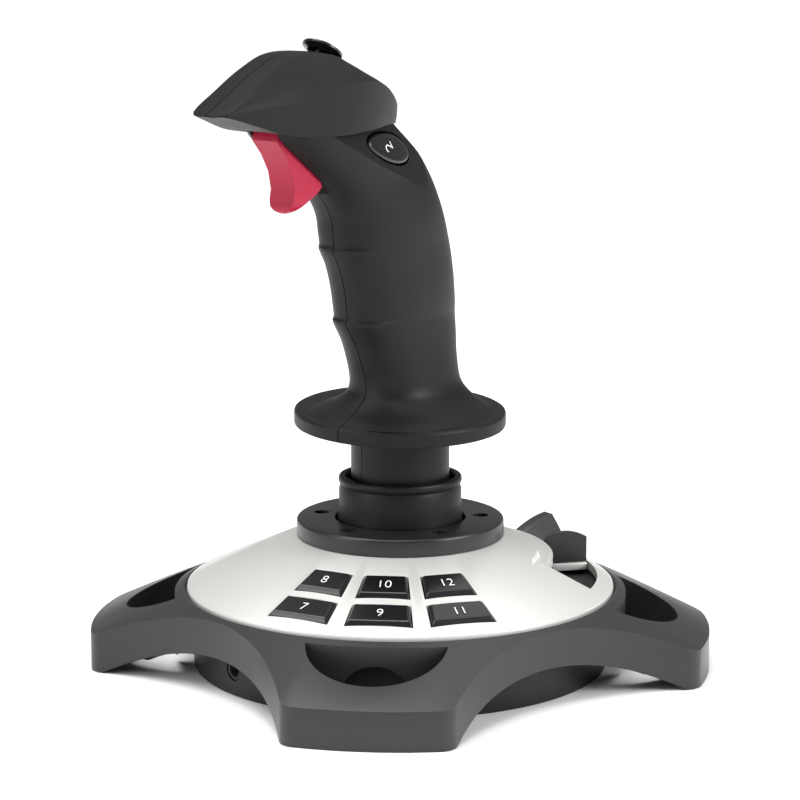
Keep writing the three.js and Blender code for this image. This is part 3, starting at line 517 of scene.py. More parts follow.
@dataclass
class LeggedBase:
    """The four-legged frame, its tub and cable outlet, in millimetres."""

    reach: float = 102.4
    corner: float = 6.0
    waist: float = 74.0
    side_radius: float = 99.0
    wall: float = 2.6
    lift: float = 0.3
    slope: float = 0.434
    slope_radius: float = 70.5
    slope_z: float = 26.6
    seat_z: float = 24.7
    seat_radius: float = 71.3
    crease: float = 0.9
    ledge: float = 2.2
    mouth: float = 67.6
    ring_outer: float = 74.6
    ring_inner: float = 71.4
    window_along: float = 69.5
    window_radius: float = 22.3
    window_wall: float = 1.6
    arch_radius: float = 97.0
    arch_top: float = 13.1
    notch_radius: float = 11.6
    notch_z: float = 7.1
    tub_radius: float = 68.5
    tub_top: float = 22.2

    def plan(self, inset: float) -> list[Spot]:
        """Gives the frame's outline, drawn in from its edge.

        Args:
            inset: How far it is drawn in.

        Returns:
            The outline.
        """
        far = self.waist + self.side_radius
        out, near = self.reach - self.corner, self.side_radius + self.corner
        swing = math.acos((out**2 + far**2 - near**2) / (2 * out * far))
        turn = math.atan2(out * math.sin(swing), far - out * math.cos(swing))
        corner = self.corner - inset
        points = []
        for quarter in range(4):
            side = quarter * math.pi / 2
            after = side + math.pi / 2

            def spot(angle: float, distance: float) -> Spot:
                """Gives a plan point by angle and distance."""
                return distance * math.cos(angle), distance * math.sin(angle)

            back = side + math.pi
            points += arc(spot(side, far), self.side_radius + inset, back + turn, back - turn, 36)
            points += arc(spot(side + swing, out), corner, side - turn, side + swing, 10)
            points += arc((0, 0), self.reach - inset, side + swing, after - swing, 12)
            points += arc(spot(after - swing, out), corner, after - swing, after + turn, 10)
        return points

    def slope_at(self, radius: float) -> float:
        """Gives the height of the frame's top at a radius."""
        return self.slope_z + (self.slope_radius - radius) * self.slope

    def under_slope(self, name: str, drop: float) -> Piece:
        """Makes the space under the frame's sloping top.

        Args:
            name: The piece's name.
            drop: How far below the top it stays.

        Returns:
            The solid.
        """
        low, high = self.slope_at(125) - drop, self.slope_at(30) - drop
        return lathe(name, [(0, -20), (125, -20), (125, low), (30, high), (0, high)], 160)

    def build_frame(self) -> Piece:
        """Builds the four-legged frame."""
        body = prism("legged_frame", self.plan(0), self.lift, 60)
        carve(body, self.under_slope("top", 0), how="INTERSECT")
        soften(body, 0.9, angle=38)
        self.cut_windows(body)
        self.cut_seat(body)
        for quarter in range(2):
            drum = core("arch", self.arch_radius, -130, 130, 160)
            tilt = Matrix.Rotation(math.pi / 2, 4, "X" if quarter else "Y")
            place(drum, Matrix.Translation((0, 0, (self.arch_top - self.arch_radius) * MM)) @ tilt)
            carve(body, drum)
        for leg in LEG_AZIMUTHS:
            notch = core("notch", self.notch_radius, self.ring_inner - 3, self.ring_outer + 1.2, 64)
            out = (*along(leg, 1, 0), 0)
            carve(body, place(notch, facing((0, 0, self.notch_z), out, (0, 0, 1))))
        return smooth(body, 30)

    def cut_windows(self, body: Piece) -> None:
        """Hollows the frame out, but for a wall round each leg's window, and opens the windows."""
        hollow = prism("hollow", self.plan(self.wall), -1, 60)
        carve(hollow, self.under_slope("inner_top", self.wall), how="INTERSECT")
        carve(hollow, *[self.window(leg, self.window_wall, 3, 61) for leg in LEG_AZIMUTHS])
        carve(hollow, core("core", self.ring_outer, -5, 62))
        carve(body, hollow)
        for leg in LEG_AZIMUTHS:
            window = self.window(leg, 0, -3, 62)
            carve(window, core("core", self.ring_outer, -6, 64))
            carve(body, window)

    def cut_seat(self, body: Piece) -> None:
        """Cuts the tub's bore, the cover's seat with its sloped edge, and the hole between them."""
        lip, edge = self.seat_radius, self.seat_radius + self.crease
        low = self.slope_at(lip) - 0.6
        carve(body, core("bore", self.ring_inner, -9, self.seat_z - self.ledge))
        carve(body, core("seat", self.seat_radius, self.seat_z, 70))
        bevel = [(0, low), (lip, low), (edge, self.slope_at(edge) + 0.2), (edge, 71), (0, 71)]
        carve(body, lathe("crease", bevel))
        carve(body, core("mouth", self.mouth, -4, 66))

    def window(self, leg: float, grow: float, z0: float, z1: float) -> Piece:
        """Makes the round tool for a leg's window.

        Args:
            leg: The leg's azimuth in degrees.
            grow: How much wider than the window.
            z0: Lower height.
            z1: Upper height.

        Returns:
            The tool.
        """
        outline = disc_outline(along(leg, self.window_along, 0), self.window_radius + grow, 96)
        return prism("window", outline, z0, z1)

    def build_tub(self) -> Piece:
        """Builds the tub that closes the base from below."""
        inner = self.tub_radius - 2.5
        r, top = self.tub_radius, self.tub_top
        outside = [(0, 0), (r - 1, 0), (r - 0.3, 0.3), (r, 1), (r, top)]
        tub = lathe("tub", [*outside, (inner, top), (inner, 2.5), (0, 2.5)], 160)
        port = core("port", 3.7, 60, 75, 40)
        carve(tub, place(port, facing((0, 0, 8.8), (0, 1, 0))))
        return smooth(tub, 30)

    def dress(self) -> None:
        """Builds and finishes the frame and the tub."""
        finish_piece(self.build_frame(), FRAME_GREY, "base", "frame_plastic", "base_frame")
        finish_piece(self.build_tub(), TUB_BLACK, "base", "dark_plastic", "bottom_housing")


@dataclass
class ConeCover:
    """The silver cone with its key windows and the throttle slot, in millimetres."""

    radius: float = 70.5
    edge_z: float = 27.2
    slope: float = 0.446
    wall: float = 2.2
    hole: float = 24.8
    flat_z: float = 43.1
    slot_inner: float = 50.5
    slot_outer: float = 65.2
    slot_from: float = 212.0
    slot_to: float = 285.0
    lip: float = 1.0
    tick_count: int = 5
    tick_first: Row = (206.5, 211.5, 45.6)
    tick_last: Row = (217.5, 223.5, 45.2)

    def top(self, radius: float) -> float:
        """Gives the height of the cone at a radius."""
        return self.edge_z + (self.radius - radius) * self.slope

    def build(self) -> Piece:
        """Builds the cover."""
        shoulder = self.radius - (self.flat_z - self.edge_z) / self.slope
        rim = self.edge_z - self.wall
        r, edge, under = self.radius, self.edge_z, self.flat_z - self.wall
        outside = [(r - 1.3, self.top(r - 1.3)), (r - 0.6, edge + 0.1), (r - 0.15, edge - 0.3),
                   (r, edge - 0.9)]
        profile = [(self.hole, self.flat_z), (shoulder, self.flat_z), *outside, (r, rim), (r - 1.6, rim)]
        profile += [(shoulder - 1, under), (self.hole, under), (self.hole, self.flat_z)]
        cover = lathe("cone_cover", profile, 192)
        ridge = self.ridge()
        carve(cover, ridge, how="UNION")
        slot = sector(self.slot_inner, self.slot_outer, self.slot_from, self.slot_to, 48)
        carve(cover, prism("slot", slot, 10, 61))
        for row in range(2):
            for column in range(3):
                carve(cover, prism("window", KeyField().outline(row, column, 0), 10, 62 + row + column))
        return smooth(cover, 30)

    def ridge(self) -> Piece:
        """Builds the rounded ridge along the slot's inner edge."""
        inner = self.slot_inner
        crest, foot, outer = self.top(inner) + self.lip, self.top(inner - 2.8), inner - 2.8
        crown = [(inner - 1.9, crest - self.lip * 0.1), (inner - 1.1, crest),
                 (inner - 0.4, crest - self.lip * 0.2)]
        side = [(inner, self.top(inner) + 0.3), (inner, self.top(inner) - 1.2)]
        start = (outer, foot - 0.4)
        ridge = lathe("ridge", [start, *crown, *side, (outer, foot - 1.6), start], 192)
        span = sector(30, 62, self.slot_from - 0.6, self.slot_to + 0.6)
        return carve(ridge, prism("span", span, 10, 60), how="INTERSECT")

    def ticks(self) -> None:
        """Adds the white scale lines at the near end of the slot's ridge."""
        for i in range(self.tick_count):
            share = i / (self.tick_count - 1)
            start, end, r = (a + (b - a) * share for a, b in zip(self.tick_first, self.tick_last))
            line = prism(f"tick_{i + 1}", sector(r, r + 0.35, start, end, 6), 0, 1)
            for vertex in line.data.vertices:
                turn = math.degrees(math.atan2(vertex.co.y, vertex.co.x)) % 360
                r0 = math.hypot(vertex.co.x, vertex.co.y) / MM
                out = r0 + 1.6 * (end - turn) / (end - start)
                vertex.co.x, vertex.co.y = out / r0 * vertex.co.x, out / r0 * vertex.co.y
                vertex.co.z = (self.top(out) + (0.08 if vertex.co.z > 0.0005 else -0.3)) * MM
            finish_piece(line, MARK_WHITE, "base", "silver_paint")

    def dress(self) -> None:
        """Builds and finishes the cover and its marks."""
        finish_piece(self.build(), COVER_SILVER, "base", "silver_paint", "dome_cover")
        self.ticks()


@dataclass
class KeyField:
    """The six numbered keys, in millimetres and degrees."""

    rows: tuple[Row, ...] = ((43.5, 54.0), (56.8, 66.7))
    labels: tuple[Row, ...] = ((8, 10, 12), (7, 9, 11))
    middle: float = 135.0
    pitch: float = 23.5
    span: float = 18.8
    gap: float = 0.45
    rise: float = 1.3
    edge: float = 0.9
    skirt: float = 3.6
    digit: float = 3.5

    def outline(self, row: int, column: int, inset: float) -> list[Spot]:
        """Gives a key's straight-sided outline.

        Args:
            row: 0 for the inner row, 1 for the outer.
            column: 0 to 2.
            inset: How far it is drawn in.

        Returns:
            Its four corners.
        """
        azimuth = math.radians(self.middle + (column - 1) * self.pitch)
        r0, r1 = self.rows[row][0] + inset, self.rows[row][1] - inset
        corners = []
        for r, side in ((r0, -1), (r1, -1), (r1, 1), (r0, 1)):
            a = azimuth + side * (math.radians(self.span / 2) - inset / r)
            corners.append((r * math.cos(a), r * math.sin(a)))
        return corners

    def build_key(self, row: int, column: int) -> Piece:
        """Builds one key: a skirt, a sloped edge and a slightly smaller face."""
        cover = ConeCover()
        rings = []
        for inset, rise in ((self.gap, -self.skirt), (self.gap, 0.25), (self.gap + self.edge, self.rise)):
            ring = self.outline(row, column, inset)
            rings.append([(x, y, cover.top(math.hypot(x, y)) + rise) for x, y in ring])
        key = skin(f"key_{self.labels[row][column]}_cap", rings)
        return flatten_normals(soften(key, 0.3, 20))

    def dress(self) -> None:
        """Builds, finishes and numbers the keys."""
        for row, names in enumerate(self.labels):
            for column, number in enumerate(names):
                body = f"key_{number}"
                finish_piece(self.build_key(row, column), KEY_BLACK, body, "key_plastic", body)
                azimuth = math.radians(self.middle + (column - 1) * self.pitch)
                r = sum(self.rows[row]) / 2
                out = Vector((math.cos(azimuth), math.sin(azimuth), 0))
                normal = out * ConeCover().slope + Vector((0, 0, 1))
                spot = (r * out.x, r * out.y, ConeCover().top(r) + self.rise + 0.02)
                across = Vector((-out.y, out.x, 0))
                label(f"number_{number}", str(number), self.digit, facing(spot, normal, across), body)


@dataclass
class Gimbal:
    """The collar with its screws, the cuff and the neck, in millimetres."""

    collar_radius: float = 34.2
    collar_bottom: float = 43.4
    collar_top: float = 49.0
    bore: float = 21.5
    screw_azimuths: Row = (39, 101, 169, 233, 288, 342)
    screw_ring: float = 26.6
    screw_head: float = 2.2
    cuff_radius: float = 20.2
    cuff_top: float = 63.1
    neck_radius: float = 16.2
    neck_bottom: float = 59.3
    neck_top: float = 78.1
    pivot_z: float = 47.95

    def build_collar(self) -> Piece:
        """Builds the collar."""
        r, top = self.collar_radius, self.collar_top
        bore, low = self.bore, self.collar_bottom
        outside = [(r, low), (r, top - 1), (r - 0.12, top - 0.55), (r - 0.4, top - 0.2), (r - 0.9, top)]
        inside = [(bore + 0.3, top), (bore, top - 0.3), (bore, low)]
        collar = lathe("collar", [(bore, low), *outside, *inside], 160)
        for azimuth in self.screw_azimuths:
            well = disc_outline(along(azimuth, self.screw_ring, 0), self.screw_head + 0.3)
            carve(collar, prism("well", well, top - 2.6, top + 1))
        return smooth(collar, 35)

    def build_cuff(self) -> Piece:
        """Builds the cuff with its ball skirt."""
        r, top, ball = self.cuff_radius, self.cuff_top, self.cuff_radius + 0.4
        turns = [math.radians(a) for a in (-22.5, -15, -7, 0, 6, 11)]
        skirt = [(ball * math.cos(a), self.pivot_z + ball * math.sin(a)) for a in turns]
        outside = [(r, 53), (r, top - 4.4), (r - 0.5, top - 3), (r - 0.1, top - 2.2)]
        lip = [(r + 0.15, top - 1.5), (r + 0.1, top - 0.7), (r - 0.25, top - 0.15), (r - 0.8, top)]
        inside = [(r - 1.9, top), (r - 2.3, top - 0.5), (r - 2.3, 56.2), (15.9, 56.2), (15.9, 54.3)]
        inside.append((17.2, 54.3))
        bowl = ball - 1.5
        inner = [(bowl * math.cos(a), self.pivot_z + bowl * math.sin(a)) for a in reversed(turns)]
        profile = [*skirt, *outside, *lip, *inside, *inner]
        return smooth(lathe("stick_cuff", [*profile, profile[0]], 128), 40)

    def build_neck(self) -> Piece:
        """Builds the neck tube with the seam down its front."""
        r, low, top = self.neck_radius, self.neck_bottom, self.neck_top
        bore = r - 2.8
        wall = [(bore, low), (r, low), (r, top - 0.4), (r - 0.4, top), (bore, top), (bore, low)]
        neck = lathe("stick_neck", wall, 128)
        groove = [(-0.12, r - 0.2), (0.12, r - 0.2), (0.12, r + 1), (-0.12, r + 1)]
        seam = prism("seam", groove, low - 1, top + 1)
        carve(neck, seam)
        return smooth(neck, 35)

    def build_screw(self, azimuth: float, number: int) -> Piece:
        """Builds a collar screw with a cross drive."""
        top = self.collar_top - 0.9
        x, y = along(azimuth, self.screw_ring, 0)
        outline = disc_outline((x, y), self.screw_head)
        head = prism(f"collar_screw_head_{number}", outline, self.collar_top - 2.3, top)
        for wide, deep in ((1.5, 0.4), (0.4, 1.5)):
            slot = [(x - wide, y - deep), (x + wide, y - deep), (x + wide, y + deep), (x - wide, y + deep)]
            carve(head, prism("drive", slot, top - 0.8, top + wide))
        return smooth(head, 35)

    def dress(self) -> None:
        """Builds and finishes the collar, its screws, the cuff and the neck."""
        # The collar's darker finish is painted shade under the hand rest, not a different plastic.
        finish_piece(self.build_collar(), COLLAR_GREY_PAINTED_SHADE, "base", "frame_plastic", "gimbal_collar")
        for i, azimuth in enumerate(self.screw_azimuths):
            node = f"collar_screw_{i + 1}"
            finish_piece(self.build_screw(azimuth, i + 1), GRIP_BLACK, "base", "steel", node)
        finish_piece(self.build_cuff(), GRIP_BLACK, "stick", "grip_plastic", "cuff")
        finish_piece(self.build_neck(), GRIP_BLACK, "stick", "grip_plastic", "neck")


@dataclass
class Throttle:
    """The lever that slides round the stick's axis, in millimetres and degrees."""

    inner: float = 51.0
    outer: float = 64.7
    start: float = 243.5
    end: float = 271.5
    base_low: float = 27.0
    base_top: float = 29.4
    sections: tuple[Row, ...] = (
        (0.05, 38.6, 40.2, 38.2), (0.17, 38.3, 39.9, 38.0), (0.26, 35.4, 36.4, 35.2),
        (0.38, 33.0, 33.6, 32.8), (0.5, 32.2, 32.9, 32.3), (0.62, 32.8, 34.0, 34.0),
        (0.72, 33.9, 36.0, 37.2), (0.84, 36.0, 39.0, 40.8), (0.97, 36.4, 39.4, 40.9),
    )

    def build_grip(self) -> Piece:
        """Builds the saddle-shaped lever, section by section."""
        rings = []
        low = self.base_top + 0.3
        middle = (self.inner + self.outer) / 2
        rows = [self.sections[0], *blend_rows(self.sections[1:-1], 3), self.sections[-1]]
        for t, near, top, far in rows:
            a = math.radians(self.start + t * (self.end - self.start))
            section = [(self.inner, low), (self.outer, low), (self.outer, far)]
            for share in (0.75, 0.5, 0.25, 0.0, -0.25, -0.5, -0.75, -1.0):
                height = top + (far - near) / 2 * share + ((far + near) / 2 - top) * share**2
                section.append((middle + share * (self.outer - self.inner) / 2, height))
            rings.append([(r * math.cos(a), r * math.sin(a), h) for r, h in section])
        return flatten_normals(soften(skin("throttle_lever", rings), 0.25, 33, 2))

    def build_slider(self) -> Piece:
        """Builds the silver slider under the lever."""
        span = sector(self.inner, self.outer - 0.2, self.start + 0.3, self.end - 0.3, 16)
        plate = prism("throttle_plate", span, self.base_low, self.base_top)
        return soften(plate, 0.25, 30, 2)

    def dress(self) -> None:
        """Builds and finishes the lever and its slider."""
        finish_piece(self.build_grip(), LEVER_GREY, "throttle", "frame_plastic", "throttle_grip")
        finish_piece(self.build_slider(), COVER_SILVER, "throttle", "silver_paint", "throttle_slider")


# ---- handle --------------------------------------------------------------------------------------


def blend_rows(rows: tuple[Row, ...], steps: int) -> list[Row]:
    """Fills in rows between given ones along a smooth curve through them.

    Args:
        rows: Rows of numbers, in order.
        steps: How many rows for each gap.

    Returns:
        The rows, filled in.
    """
    filled = []
    for i in range(len(rows) - 1):
        before, a, b, after = rows[max(i - 1, 0)], rows[i], rows[i + 1], rows[min(i + 2, len(rows) - 1)]
        for step in range(steps):
            t = step / steps
            row = []
            for p, q, r, s in zip(before, a, b, after):
                bend, twist = 2 * p - 5 * q + 4 * r - s, 3 * q - p - 3 * r + s
                row.append(0.5 * (2 * q + (r - p) * t + bend * t**2 + twist * t**3))
            filled.append(tuple(row))
    return [*filled, rows[-1]]


@dataclass
class Handle:
    """The two-shell handle with its hand rest and head, in millimetres, facing +Y."""

    stations: tuple[Row, ...] = (
        (84.5, 30, -31, 28), (86, 27, -29, 25), (88, 22.5, -27, 20.5), (91, 18.6, -24.5, 17),
        (94, 17.6, -22.8, 15.5), (98, 18.1, -21.9, 15), (104, 20.5, -21.6, 14.5), (110, 23.4, -21.8, 14.3),
        (116.2, 27.7, -21.7, 14.2), (118, 27, -21.5, 14.4), (121, 27.2, -21.2, 14.7), (128, 28.4, -20.3, 15),
        (135, 30.8, -19.2, 15), (140.4, 33.9, -17.8, 15.2), (142.4, 33.5, -17, 15.3), (146, 33.9, -15.6, 15.6),
        (151, 34.6, -13.5, 15.7), (156, 37.5, -11.3, 15.5), (160, 41.3, -9.4, 15.2), (164, 46.5, -7, 15),
        (170, 54.5, -2, 15.5), (176, 62.5, 5.5, 16), (180, 67, 10.5, 16.4), (184, 68.5, 13.5, 15),
    )
    head: tuple[Row, ...] = (
        (11.5, 183, 5, 182.5, 7.5, 180.3), (15, 187.5, 7, 186.5, 11, 180.5), (22, 193, 8, 191, 14.5, 180.7),
        (30, 197.5, 8, 194.5, 17.2, 180.4), (40, 202.8, 8, 196, 18.8, 180), (50, 204.6, 7.5, 195, 18.6, 179.7),
        (60, 203.8, 7, 192.4, 16.3, 180), (68, 200.8, 7, 190.9, 13.9, 181.1), (74, 198, 7, 190.4, 12.3, 182.5),
        (82, 193.6, 6.9, 189.8, 10, 185.1), (90, 189.2, 6.6, 188.6, 7.1, 187.6),
        (92.2, 188.2, 3, 188, 3.2, 187.7),
    )
    points: int = 72
    square: float = 2.3
    disc_radius: float = 34.9
    disc_low: float = 79.3
    disc_top: float = 84.5
    disc_shift: Row = (2.5, -3.0)
    dip: float = math.tan(math.radians(2.4))
    dip_azimuth: float = math.radians(147)
    facet_point: Row = (-15.5, 16.0, 162.3)
    split: float = 0.15
    screws: tuple[Row, ...] = ((-4, 106), (5, 139), (27, 170))

    def dip_at(self, x: float, y: float) -> float:
        """Gives how far the tilted hand rest drops at a plan point."""
        return -(x * math.cos(self.dip_azimuth) + y * math.sin(self.dip_azimuth)) * self.dip

    def grip_ring(self, row: Row) -> list[Point]:
        """Gives a section of the grip.

        Args:
            row: Height, front, back and half width.

        Returns:
            The ring.
        """
        z, front, back, half = row
        fade = min(max((94 - z) / 9.5, 0), 1)
        ring = []
        for i in range(self.points):
            a = 2 * math.pi * i / self.points
            c, s = math.cos(a), math.sin(a)
            x = half * math.copysign(abs(c) ** (2 / self.square), c)
            y = (front + back) / 2 + (front - back) / 2 * math.copysign(abs(s) ** (2 / self.square), s)
            ring.append((x, y, z + fade * self.dip_at(x, y)))
        return ring

    def disc_ring(self, radius: float, z: float) -> list[Point]:
        """Gives a ring of the hand rest.

        Args:
            radius: Its radius.
            z: Its height at the middle.

        Returns:
            The ring.
        """
        ring = []
        for x, y, _ in circle(radius, 0, self.points):
            x, y = x + self.disc_shift[0], y + self.disc_shift[1]
            ring.append((x, y, z + self.dip_at(x, y)))
        return ring

    def head_ring(self, row: Row) -> list[Point]:
        """Gives a section of the head, a flat-topped hexagon with soft sides.

        Args:
            row: Forward, top, its half width, side crease, its half width, lower lip.

        Returns:
            The ring.
        """
        y, top, top_x, side_z, side_x, lip = row
        lip_x = side_x - min(1.8, (side_z - lip) * 0.15)
        bulge = min(0.35, (top - side_z) * 0.12)
        right = [(0, top + 0.35), (top_x * 0.5, top + 0.27), (top_x, top)]
        for t in (0.25, 0.5, 0.75):
            lift = bulge * 4 * t * (1 - t)
            right.append((top_x + (side_x - top_x) * t + lift, top + (side_z - top) * t + lift))
        right += [(side_x, side_z), ((side_x + lip_x) / 2 + 0.15, (side_z + lip) / 2)]
        right += [(lip_x, lip + 0.05), (lip_x * 0.7, lip), (0, lip)]
        left = [(-x, z) for x, z in reversed(right[1:-1])]
        return [(x, y, z) for x, z in right + left]

    def body(self) -> Piece:
        """Builds the grip, hand rest and head as one solid."""
        r, low, top = self.disc_radius, self.disc_low, self.disc_top
        lower = [(0.6, low), (0.15, low + 0.2), (0, low + 0.7)]
        upper = [(0, top - 1.1), (0.25, top - 0.5), (0.9, top - 0.15)]
        disc = [self.disc_ring(r - inset, z) for inset, z in lower + upper]
        grip = skin("grip", [*disc, *(self.grip_ring(row) for row in blend_rows(self.stations, 3))])
        carve(grip, self.half_space(self.facet_point, FACET_NORMAL))
        head = skin("head", [self.head_ring(row) for row in blend_rows(self.head, 3)])
        return carve(grip, head, how="UNION")

    def half_space(self, point: Point, normal: Point) -> Piece:
        """Makes a big block that lies on one side of a plane.

        Args:
            point: A point on the plane.
            normal: The side it lies on.

        Returns:
            The block.
        """
        block = prism("half_space", [(-70, -70), (70, -70), (70, 70), (-70, 70)], 0, 70)
        return place(block, facing(point, normal, (0, 1, 0)))

    def build_shell(self, name: str, hand: int) -> Piece:
        """Builds one shell of the handle.

        Args:
            name: Its name.
            hand: -1 for the left one, 1 for the right one.

        Returns:
            The shell, turned to its place.
        """
        shell = self.body()
        shell.name = name
        choose(shell)
        bpy.ops.object.mode_set(mode="EDIT")
        bpy.ops.mesh.select_all(action="SELECT")
        bpy.ops.mesh.bisect(plane_co=(hand * self.split * MM, 0, 0), plane_no=(-hand, 0, 0),
                            use_fill=True, clear_outer=True)
        bpy.ops.object.mode_set(mode="OBJECT")
        carve(shell, *self.openings(hand))
        flatten_normals(soften(shell, 0.22, 19, 2))
        return place(shell, HANDLE_PLACE)

    def openings(self, hand: int) -> list[Piece]:
        """Makes the tools for the openings of a shell.

        Args:
            hand: -1 for the left one, 1 for the right one.

        Returns:
            The tools.
        """
        tools = [Controls().slot_tool(), Controls().hat_tool(), *Controls().top_tools(hand)]
        if hand < 0:
            tools.append(Controls().thumb_tool())
        else:
            for y, z in self.screws:
                well = prism("screw_well", disc_outline((0, 0), 2.7), 8.6, 30)
                tools.append(place(well, facing((0, y, z), (1, 0, 0), (0, 0, 1))))
        return tools

    def dress(self) -> None:
        """Builds and finishes both shells and the screws."""
        for side, hand in (("left", -1), ("right", 1)):
            shell = self.build_shell(f"{side}_shell", hand)
            finish_piece(shell, GRIP_BLACK, "handle", "grip_plastic", f"handle_{side}_shell")


@dataclass
class Controls:
    """The trigger, the thumb button, the hat and the four top buttons, in millimetres, facing +Y."""

    trigger_width: float = 10.0
    trigger_outline: tuple[Row, ...] = (
        (66.1, 178.5), (62, 173.8), (58.8, 168.3), (57.6, 162.6), (58.3, 159.2), (58.9, 157.3),
        (58.7, 156.1), (57.8, 155.3), (56.6, 155.2), (55.4, 155.8), (51, 158.8), (47.2, 160.8),
        (44.8, 162.7), (45.5, 165), (52, 173), (57, 180), (58.6, 184), (62, 185), (64.5, 183), (65.6, 180.5),
    )
    slot_outline: tuple[Row, ...] = ((74, 177), (58, 150), (41, 158.5), (41, 170), (52, 187.5), (68, 187.5))
    button_point: Row = (-11.9, 20.9, 173.4)
    button_long: float = 11.8
    button_short: float = 4.9
    button_along: Row = (0.1, -0.975, -0.2)
    digit_turn: float = math.radians(115)
    hat_base: Row = (0.0, 39.6, 202.8)
    hat_tilt: float = math.radians(33)
    hat_radius: float = 6.6
    top_buttons: tuple[Row, ...] = (
        (-4.3, 29, 197, 29), (4.3, 29, 197, 29), (-4.3, 20.4, 191.9, 35), (4.3, 20.4, 191.9, 35),
    )
    top_radius: float = 3.0

    def egg(self, grow: float) -> list[Spot]:
        """Gives the thumb button's outline, wider towards the user.

        Args:
            grow: How much larger than the button.

        Returns:
            The outline.
        """
        points = []
        for i in range(64):
            a = 2 * math.pi * i / 64
            half = (self.button_short + grow) * (1 + 0.16 * math.cos(a))
            points.append(((self.button_long + grow) * math.cos(a), half * math.sin(a)))
        return points

    def on_facet(self) -> Matrix:
        """Gives the place of the thumb button, before the handle's turn."""
        return facing(self.button_point, FACET_NORMAL, self.button_along)

    def on_hat(self) -> Matrix:
        """Gives the place of the hat, before the handle's turn."""
        return facing(self.hat_base, (0, -math.sin(self.hat_tilt), math.cos(self.hat_tilt)))

    def upright(self, name: str, outline: tuple[Row, ...], width: float) -> Piece:
        """Stands a side outline up, centred on the handle's middle plane.

        Args:
            name: The piece's name.
            outline: Forward and height pairs.
            width: Its width across.

        Returns:
            The piece.
        """
        return skin(name, [[(x, y, z) for y, z in outline] for x in (-width / 2, width / 2)])

    def slot_tool(self) -> Piece:
        """Makes the tool for the trigger's slot."""
        return self.upright("trigger_slot", self.slot_outline, self.trigger_width + 1)

    def hat_tool(self) -> Piece:
        """Makes the tool for the hat's hole."""
        return place(prism("hat_hole", disc_outline((0, 0), 4.3, 40), -4.2, 7), self.on_hat())

    def thumb_tool(self) -> Piece:
        """Makes the tool for the thumb button's hole."""
        return place(prism("thumb_hole", self.egg(0.75), -6, 7), self.on_facet())

    def top_place(self, spot: Row) -> Matrix:
        """Gives the place of a top button, before the handle's turn."""
        x, y, z, lean = spot
        return facing((x, y, z), (0, -math.sin(math.radians(lean)), math.cos(math.radians(lean))))

    def top_tools(self, hand: int) -> list[Piece]:
        """Makes the tools for a shell's top buttons.

        Args:
            hand: -1 for the left shell, 1 for the right one.

        Returns:
            The tools.
        """
        spots = [spot for spot in self.top_buttons if spot[0] * hand > 0]
        outline = disc_outline((0, 0), self.top_radius + 0.3)
        return [place(prism("button_hole", outline, -4, 7), self.top_place(spot)) for spot in spots]

    def build_trigger(self) -> Piece:
        """Builds the trigger blade with rounded edges."""
        blade = self.upright("trigger_blade", self.trigger_outline, self.trigger_width)
        half, low = self.trigger_width / 2, min(z for _, z in self.trigger_outline)
        tip = arc((0, low + half), half, math.pi, 2 * math.pi, 20)
        tip += [(half, low + half), (half, 190), (-half, 190)]
        front = skin("front_view", [[(x, y, z) for x, z in tip] for y in (35, 75)])
        carve(blade, front, how="INTERSECT")
        flatten_normals(soften(blade, 0.7, 40, 4))
        return place(blade, HANDLE_PLACE)

    def build_thumb(self) -> Piece:
        """Builds the thumb button with a domed face."""
        rings = []
        for grow, z in ((0, -3), (0, 0.1), (-0.25, 0.4), (-0.7, 0.6), (-1.8, 0.75), (-3.4, 0.8)):
            rings.append([(x, y, z) for x, y in self.egg(grow)])
        return place(smooth(skin("thumb_button", rings), 50), HANDLE_PLACE @ self.on_facet())

    def build_hat(self) -> Piece:
        """Builds the stepped hat cap on its stem."""
        r = self.hat_radius
        stem = [(0, -6), (2.3, -6), (2.3, 0.5), (4.6, 0.7), (5.3, 1.3)]
        rim = [(r - 0.5, 1.45), (r - 0.1, 1.7), (r, 2.1), (r - 0.1, 2.45), (r - 0.4, 2.6), (r - 1.4, 2.7)]
        steps = [(r - 1.5, 3.1), (r - 1.8, 3.2), (r - 2.6, 3.25), (r - 2.7, 3.5), (r - 3.0, 3.6)]
        profile = [*stem, *rim, *steps, (1.5, 3.5), (0, 3.45)]
        cap = smooth(lathe("hat_button", profile, 64), 35)
        return place(cap, HANDLE_PLACE @ self.on_hat())

    def build_top(self, spot: Row, number: int) -> Piece:
        """Builds a round top button."""
        r = self.top_radius
        profile = [(0, -3), (r, -3), (r, 0.6), (r - 0.15, 0.9), (r - 0.5, 1.1), (r - 1.2, 1.15), (0, 1.0)]
        button = smooth(lathe(f"top_button_{number}", profile, 48), 45)
        return place(button, HANDLE_PLACE @ self.top_place(spot))

    def dress(self) -> None:
        """Builds, finishes and numbers the handle's controls."""
        finish_piece(self.build_trigger(), TRIGGER_RED, "trigger", "crimson", "trigger")
        finish_piece(self.build_thumb(), KEY_BLACK, "button_2", "key_plastic", "button_2")
        lift = Matrix.Translation((-0.0005, 0, 0.82 * MM)) @ Matrix.Rotation(self.digit_turn, 4, "Z")
        label("number_2", "2", 4.6, HANDLE_PLACE @ self.on_facet() @ lift, "button_2")
        finish_piece(self.build_hat(), KEY_BLACK, "hat_cap", "key_plastic", "hat_cap")
        for i, spot in enumerate(self.top_buttons):
            node = f"button_{i + 3}"
            finish_piece(self.build_top(spot, i + 3), KEY_BLACK, node, "key_plastic", node)


# ---- inner pieces, studio ------------------------------------------------------------------------


